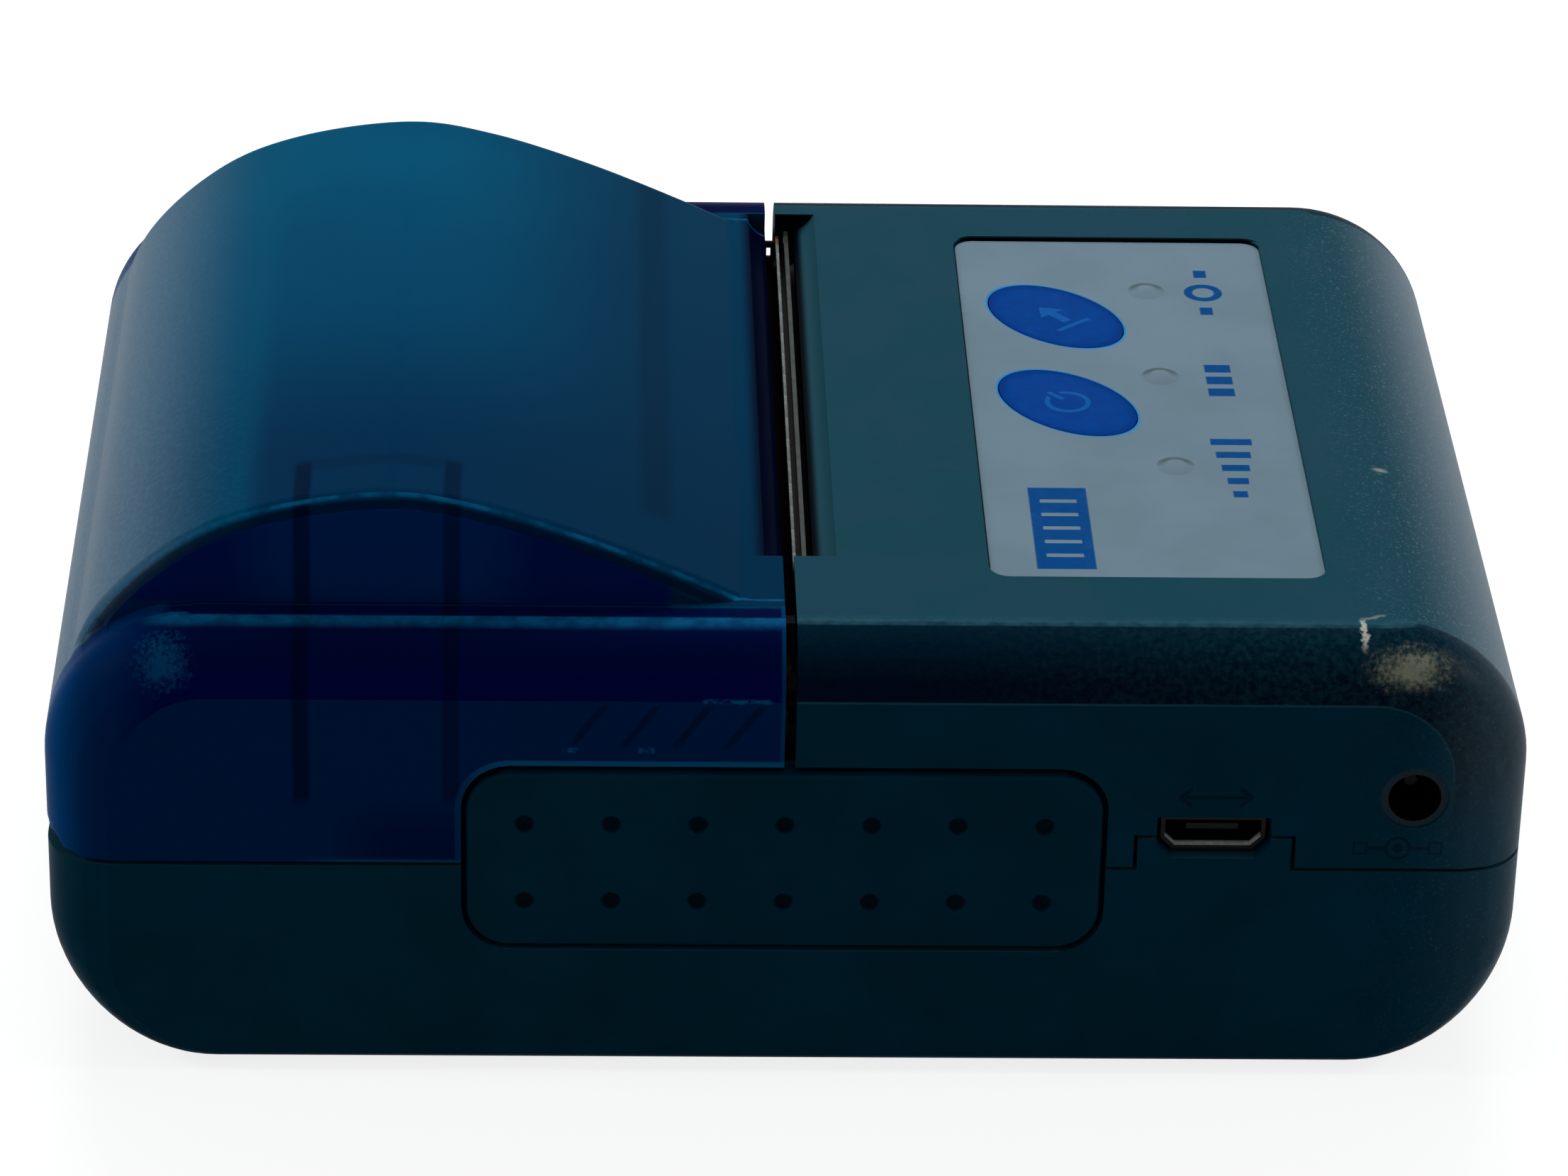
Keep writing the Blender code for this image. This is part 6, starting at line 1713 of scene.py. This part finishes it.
@dataclass
class LatchButtons:
    """The dimpled side buttons, their plates made fine and their inner flanges kept."""

    low: Flat = (-23.0, 10.5)
    high: Flat = (22.5, 24.9)
    corner: float = 3.2
    thickness: float = 1.6
    lap: float = 0.4
    face: float = 38.5
    edge: float = 0.45
    columns: int = 7
    pitch: float = 6.18
    rows: Flat = (20.6, 14.26)
    dimple_radius: float = 0.82
    dimple_depth: float = 0.45
    travel: float = 1.2
    springs: tuple[tuple[Side, str], ...] = (
        (Side.NEAR, "near_left"),
        (Side.NEAR, "near_right"),
        (Side.FAR, "far"),
    )

    def plate(self, side: Side) -> Piece:
        """The outer plate with its rounded rim.

        Args:
            side: The button's side.

        Returns:
            The plate, not yet dimpled.
        """
        piece = Piece(f"latch_button_{side.label}_plate")
        inner, outer = side.value * (self.face - self.thickness), side.value * self.face
        corners = [Vector((x, inner, z)) for x, z in rectangle(self.low, self.high)]
        piece.push(piece.plate(corners, self.corner, steps=12), Axis.Y.vector(side.value * self.thickness))
        piece.close()
        piece.soften(self.edge, lambda vert: abs(vert.co.y - outer) < MERGED, steps=4)
        return piece

    def dimples(self, side: Side) -> Piece:
        """The balls that press the dimples.

        Args:
            side: The button's side.

        Returns:
            The balls as one piece.
        """
        piece = Piece(f"latch_dimples_{side.label}")
        radius = (self.dimple_radius**2 + self.dimple_depth**2) / (2 * self.dimple_depth)
        middle = (self.low[0] + self.high[0]) / 2
        for column in range(self.columns):
            for z in self.rows:
                x = middle + (column - (self.columns - 1) / 2) * self.pitch
                place = Matrix.Translation((x, side.value * (self.face + radius - self.dimple_depth), z))
                bmesh.ops.create_uvsphere(
                    piece.mesh, u_segments=24, v_segments=16, radius=radius, matrix=place
                )
        return piece

    def spring(self, name: str) -> None:
        """Makes a spring.

        Args:
            name: The end of the spring's node name.
        """
        node = f"latch_spring_{name}"
        made = Piece.of_node(f"{node}_coil", node).finish("base", SPRING, "spring_steel", [node])
        tuple(Axis.Y.vector())
        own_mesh(made)

    def button(self, side: Side) -> None:
        """Makes a dimpled plate and joins it to the inner flanges of the solid.

        Args:
            side: The button's side.
        """
        node = f"latch_button_{side.label}"
        piece = self.plate(side)
        piece.without(self.dimples(side))
        flanges = Piece.of_node("flanges", node)
        cut = side.value * (self.face - self.thickness + self.lap)
        flanges.cut_off(Axis.Y.vector(cut), Axis.Y.vector(side.value))
        piece.take(flanges)
        body = f"latch_{side.label}"
        piece.finish(body, BUTTON, "button_plastic", [node], sharp=24.0, weighted=True)

    def build(self) -> None:
        """Makes the springs and both buttons."""
        for side, name in self.springs:
            self.spring(name)
        for side in Side:
            self.button(side)


@dataclass
class Panel:
    """The film with its rounded corners, the two keys and the three lenses."""

    low: Flat = (14.5, -27.7)
    high: Flat = (38.7, 28.7)
    corner: float = 1.5
    bottom: float = 34.5
    top: float = 34.95
    edge: float = 0.12
    cut_below: float = 1.0
    cut_above: float = 1.5
    gap: float = 0.1
    lens_gap: float = -0.03
    lens_foot: float = 0.5
    lens_rise: float = 0.22
    key_floor: float = 32.2
    key_flange: Flat = (0.8, 0.7)
    key_lap: float = 0.3
    key_rise: float = 0.12
    key_rings: int = 8

    def oval(self, piece: Piece, centre: Vector, margin: float) -> bmesh.types.BMFace:
        """Adds a flat oval face.

        Args:
            piece: The piece that gets it.
            centre: Its middle.
            margin: How far it reaches past the key's outline.

        Returns:
            The face.
        """
        made = bmesh.ops.create_circle(piece.mesh, cap_ends=True, segments=96, radius=1.0)["verts"]
        bmesh.ops.scale(piece.mesh, verts=made, vec=(KeyOval.long + margin, KeyOval.short + margin, 1.0))
        turn = Matrix.Rotation(KeyOval.turn, 3, "Z")
        bmesh.ops.rotate(piece.mesh, verts=made, cent=(0, 0, 0), matrix=turn)
        bmesh.ops.translate(piece.mesh, verts=made, vec=centre)
        return made[0].link_faces[0]

    def holes(self) -> list[Piece]:
        """Cutters for the keys and the lenses.

        Returns:
            Two oval blocks and three round ones.
        """
        cutters = []
        for name, y in KeyOval.rows.items():
            cutter = Piece(f"hole_{name}")
            face = self.oval(cutter, Vector((KeyOval.x, y, self.bottom - self.cut_below)), self.gap)
            cutter.push(face, Axis.Z.vector(self.cut_below + self.cut_above))
            cutters.append(cutter)
        profile = rectangle((0.0, -self.cut_below), (Lens.radius + self.lens_gap, self.cut_above))
        for name, row in Lens.rows.items():
            cutter = Piece(f"hole_{name}")
            cutter.turned(profile, Vector((Lens.x, Lens.middle(row), self.bottom)), Axis.Z, steps=48)
            cutters.append(cutter)
        for cutter in cutters:
            cutter.close()
        return cutters

    def film(self) -> None:
        """Makes the film."""
        piece = Piece("panel_film")
        corners = [Vector((x, y, self.bottom)) for x, y in rectangle(self.low, self.high)]
        face = piece.plate(corners, self.corner, steps=10)
        piece.push(face, Axis.Z.vector(self.top - self.bottom))
        piece.close()
        piece.soften(self.edge, lambda vert: abs(vert.co.z - self.top) < MERGED)
        piece.without(*self.holes())
        piece.finish("base", FILM, "panel_film", ["control_panel"], weighted=True)

    def crown(self, piece: Piece, cap: bmesh.types.BMFace) -> None:
        """Raises a key's flat top in rings, each a little higher and smaller.

        Args:
            piece: The key.
            cap: Its flat top.
        """
        for i in range(1, self.key_rings):
            scale = (self.key_rings - i) / (self.key_rings - i + 1)
            rise = self.key_rise * ((i / self.key_rings) ** 2 - ((i - 1) / self.key_rings) ** 2)
            made = bmesh.ops.extrude_face_region(piece.mesh, geom=[cap])["geom"]
            if cap.is_valid:
                bmesh.ops.delete(piece.mesh, geom=[cap], context="FACES_ONLY")
            ends, (cap,) = only(bmesh.types.BMVert, made), only(bmesh.types.BMFace, made)
            middle = sum((vert.co for vert in ends), Vector()) / len(ends)
            for vert in ends:
                vert.co = middle + (vert.co - middle) * scale
                vert.co.z += rise

    def keys(self) -> None:
        """Makes the two keys with the flanges that hold them."""
        for name, finish in (("feed", FEED_KEY), ("power", POWER_KEY)):
            piece = Piece(f"{name}_key_cap")
            centre = Vector((KeyOval.x, KeyOval.rows[name], self.key_floor))
            margin, height = self.key_flange
            piece.push(self.oval(piece, centre, margin), Axis.Z.vector(height))
            body = self.oval(piece, centre + Axis.Z.vector(self.key_lap), 0.0)
            rim = set(piece.push(body, Axis.Z.vector(self.top - self.key_floor - self.key_lap)))
            self.crown(piece, next(face for face in piece.mesh.faces if rim.issuperset(face.verts)))
            piece.close()
            piece.finish(f"{name}_key", finish, "key_plastic", [f"{name}_button"], sharp=50.0)

    def lenses(self) -> None:
        """Makes the three lenses as shallow domes on their feet."""
        for name, row in Lens.rows.items():
            node = f"led_lens_{name}"
            low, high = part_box(node)
            piece = Piece(f"{node}_dome")
            floor, rim = low.z / MM, high.z / MM - self.lens_rise
            step, foot = floor + self.lens_foot, (high.x - low.x) / MM / 2
            profile = [(0.0, floor), (foot, floor), (foot, step), (Lens.radius, step)]
            for angle in quarter(8):
                profile.append((Lens.radius * math.cos(angle), rim + self.lens_rise * math.sin(angle) ** 2))
            piece.turned(profile, Vector((Lens.x, Lens.middle(row), 0.0)), Axis.Z, steps=48)
            piece.close()
            piece.finish("base", LENS, "lens_plastic", [node])

    def build(self) -> None:
        """Makes the panel's pieces."""
        self.film()
        self.keys()
        self.lenses()


@dataclass
class Platen:
    """The rubber roller in the slot."""

    x: float = -3.0
    z: float = 27.5
    bore: float = 1.4
    edge: float = 0.35

    def build(self) -> None:
        """Makes the roller with its broken edges, hollow for the shaft."""
        low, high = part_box("platen_roller")
        near, far = low.y / MM, high.y / MM
        radius = (high.z - low.z) / MM / 2
        profile = [
            (self.bore, near),
            (radius - self.edge, near),
            (radius, near + self.edge),
            (radius, far - self.edge),
            (radius - self.edge, far),
            (self.bore, far),
            (self.bore, near),
        ]
        piece = Piece("platen_rubber")
        piece.turned(profile, Vector((self.x, 0.0, self.z)), Axis.Y, steps=64)
        piece.close()
        piece.finish("platen", RUBBER, "platen_rubber", ["platen_roller"], sharp=35.0)


@dataclass
class TearBar:
    """The tear bar: a bent strip whose left lip has the teeth."""

    blade: Flat = (1.1, 1.42)
    lip: Flat = (0.46, 0.68)
    floor: Flat = (32.25, 32.5)
    lip_top: float = 33.15
    tooth: float = 0.32
    worn_share: float = 0.2
    worn_beat: float = 2.1
    half_pitch: float = 0.6
    reach: float = 0.9

    def build(self) -> None:
        """Pushes the bent outline out tooth by tooth and dresses it."""
        low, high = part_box("tear_bar")
        bottom, top = low.z / MM, high.z / MM
        near, far = low.y / MM, high.y / MM + self.reach
        outline = [
            (self.blade[1], bottom),
            (self.blade[1], top),
            (self.blade[0], top),
            (self.blade[0], self.floor[1]),
            (self.lip[1], self.floor[1]),
            (self.lip[1], self.lip_top),
            (self.lip[0], self.lip_top),
            (self.lip[0], self.floor[0]),
            (self.blade[0], self.floor[0]),
            (self.blade[0], bottom),
        ]
        piece = Piece("tear_bar_strip")
        face = piece.plate([Vector((x, near, z)) for x, z in outline])
        steps = round((far - near) / self.half_pitch)
        for i in range(1, steps + 1):
            made = bmesh.ops.extrude_face_region(piece.mesh, geom=[face], use_keep_orig=i == 1)["geom"]
            ring, (face,) = only(bmesh.types.BMVert, made), only(bmesh.types.BMFace, made)
            bmesh.ops.translate(piece.mesh, verts=ring, vec=Axis.Y.vector((far - near) / steps))
            uneven = self.worn_share * (1 - math.sin(i * self.worn_beat))
            for vert in ring:
                if vert.co.x < self.lip[1] + MERGED and vert.co.z > self.floor[1] + MERGED:
                    vert.co.z = self.lip_top + self.tooth * (i % 2) * (1 - uneven)
        piece.close()
        piece.finish("base", TEAR, "steel", ["tear_bar"])


@dataclass
class Inside:
    """Everything in the housings, and the small parts, each with its finish."""

    finishes: tuple[Finish, ...] = SLOT_FINISHES
    dark_gears: tuple[str, ...] = ("platen_gear", "idler_gear", "motor_pinion")

    def build(self) -> None:
        """Dresses the nodes that nothing replaces."""
        by_name = {finish.name: finish for finish in self.finishes}
        special = {"dc_jack": JACK, "usb_connector": PORT, **dict.fromkeys(self.dark_gears, SHADED_GEAR)}
        for node, shown in list(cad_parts.items()):
            if shown.hide_render:
                continue
            slots = [slot.material.name.split(".")[0] for slot in shown.material_slots if slot.material]
            finish = special.get(node) or by_name.get(slots[0] if slots else "", FRAME)
            for slot in shown.material_slots:
                slot.material = finish.material()


@dataclass(frozen=True)
class Lamp:
    """A soft square lamp, its places and side in metres and its power in watts."""

    name: str
    place: Triple
    target: Triple
    side: float
    power: float
    mirrored: bool = True

    def build(self) -> None:
        """Adds the lamp, turned to its target."""
        data = bpy.data.lights.new(self.name, "AREA")
        data.shape = "SQUARE"
        data.size = self.side
        data.energy = self.power
        made = bpy.data.objects.new(self.name, data)
        bpy.context.scene.collection.objects.link(made)
        made.visible_glossy = self.mirrored
        made.location = self.place
        ahead = Vector(self.target) - Vector(self.place)
        made.rotation_euler = ahead.to_track_quat("-Z", "Y").to_euler()


@dataclass
class Studio:
    """The camera, the pale floor and the soft lights, with the places in metres."""

    lens: float = 146.57
    sensor: float = 36.0
    clip: float = 0.01
    yaw: float = math.radians(2.078)
    pitch: float = math.radians(28.5)
    roll: float = math.radians(1.402)
    stand: Triple = (-0.01492, -0.42947, 0.25234)
    floor_size: float = 6.0
    floor_z: float = -0.0002
    floor_seen: Colour = (0.3, 0.3, 0.3)
    floor_glow: float = 0.82
    floor_bounce: Colour = (0.22, 0.23, 0.24)
    ambient: float = 0.3
    ceiling: float = 0.12
    sky: Colour = (0.9, 0.96, 1.0)
    white: Colour = (1.0, 1.0, 1.0)
    lamps: tuple[Lamp, ...] = (
        Lamp("key", (0.0, 0.42, 0.55), (0.0, 0.0, 0.02), 0.45, 3.3, mirrored=False),
        Lamp("left", (-0.6, -0.06, 0.4), (0.0, 0.0, 0.03), 0.14, 0.9),
        Lamp("right", (0.6, -0.06, 0.4), (0.0, 0.0, 0.03), 0.14, 0.9),
    )

    def camera(self) -> None:
        """Sets the camera at the photograph's angle."""
        level = math.cos(self.pitch)
        right = Vector((math.cos(self.yaw), -math.sin(self.yaw), 0.0))
        ahead = Vector((math.sin(self.yaw) * level, math.cos(self.yaw) * level, -math.sin(self.pitch)))
        up = right.cross(ahead)
        turned_right = math.cos(self.roll) * right + math.sin(self.roll) * up
        turned_up = math.cos(self.roll) * up - math.sin(self.roll) * right
        matrix = Matrix((turned_right, turned_up, -ahead)).transposed().to_4x4()
        matrix.translation = self.stand
        data = bpy.data.cameras.new("camera")
        data.lens = self.lens
        data.sensor_width = self.sensor
        data.clip_start = self.clip
        made = bpy.data.objects.new("camera", data)
        bpy.context.scene.collection.objects.link(made)
        made.matrix_world = matrix
        bpy.context.scene.camera = made

    def floor(self) -> None:
        """Lays the pale floor, which bounces less light than it shows."""
        mesh = bmesh.new()
        bmesh.ops.create_grid(mesh, x_segments=2, y_segments=2, size=self.floor_size / 2)
        data = bpy.data.meshes.new("floor")
        mesh.to_mesh(data)
        mesh.free()
        made = bpy.data.objects.new("floor", data)
        made.location.z = self.floor_z
        bpy.context.scene.collection.objects.link(made)
        graph = Graph(bpy.data.materials.new("floor_paper"))
        lit = graph.node("ShaderNodeBsdfDiffuse", {}, {"Color": self.floor_seen})
        glow = graph.node("ShaderNodeEmission", {}, {"Color": self.white, "Strength": self.floor_glow})
        shown = graph.node("ShaderNodeAddShader", {}, {0: lit.outputs[0], 1: glow.outputs[0]})
        bounced = graph.node("ShaderNodeBsdfDiffuse", {}, {"Color": self.floor_bounce})
        self.share(graph, bounced, shown, "Material Output")
        data.materials.append(graph.owner)

    def share(self, graph: Graph, lighting: bpy.types.Node, seen: bpy.types.Node, output: str) -> None:
        """Gives rays of the camera, of reflections and of glass one shader, and rays that light another.

        Args:
            graph: The graph of the floor or the world.
            lighting: The shader for rays that only light.
            seen: The shader for rays that see.
            output: The output node's name.
        """
        path = graph.node("ShaderNodeLightPath").outputs
        sees = Value(graph, path["Is Camera Ray"]).most(Value(graph, path["Is Glossy Ray"]))
        sees = sees.most(Value(graph, path["Is Transmission Ray"]))
        inputs = {0: sees, 1: lighting.outputs[0], 2: seen.outputs[0]}
        both = graph.node("ShaderNodeMixShader", {}, inputs)
        graph.feed(graph.tree.nodes[output].inputs["Surface"], both.outputs[0])

    def world(self) -> None:
        """Gives a weak even light, a white background, and a dark ceiling over it in reflections."""
        made = bpy.data.worlds.new("studio")
        bpy.context.scene.world = made
        graph = Graph(made)
        direction = graph.node("ShaderNodeTexCoord").outputs["Generated"]
        rise = Value(graph, graph.node("ShaderNodeSeparateXYZ", {}, {0: direction}).outputs[2])
        camera = Value(graph, graph.node("ShaderNodeLightPath").outputs["Is Camera Ray"])
        strength = camera.most(1.0 - rise.step(0.12, 0.5) * (1.0 - self.ceiling))
        weak = graph.node("ShaderNodeBackground", {}, {0: self.sky, 1: self.ambient})
        white = graph.node("ShaderNodeBackground", {}, {0: self.white, 1: strength})
        self.share(graph, weak, white, "World Output")

    def build(self) -> None:
        """Sets the camera, the floor and the lights."""
        self.camera()
        self.floor()
        self.world()
        for lamp in self.lamps:
            lamp.build()
        bpy.context.scene.view_settings.view_transform = "Standard"


def main() -> None:
    """Builds the studio and every sub-assembly in order."""
    logging.basicConfig(level=logging.INFO, format="%(message)s")
    parts = (Studio, Housing, PaperCover, LatchButtons, Panel, Platen, TearBar, Inside)
    for assembly in (part() for part in parts):
        assembly.build()
        LOG.info("%s is in place", type(assembly).__name__)


if __name__ == "__main__":
    main()
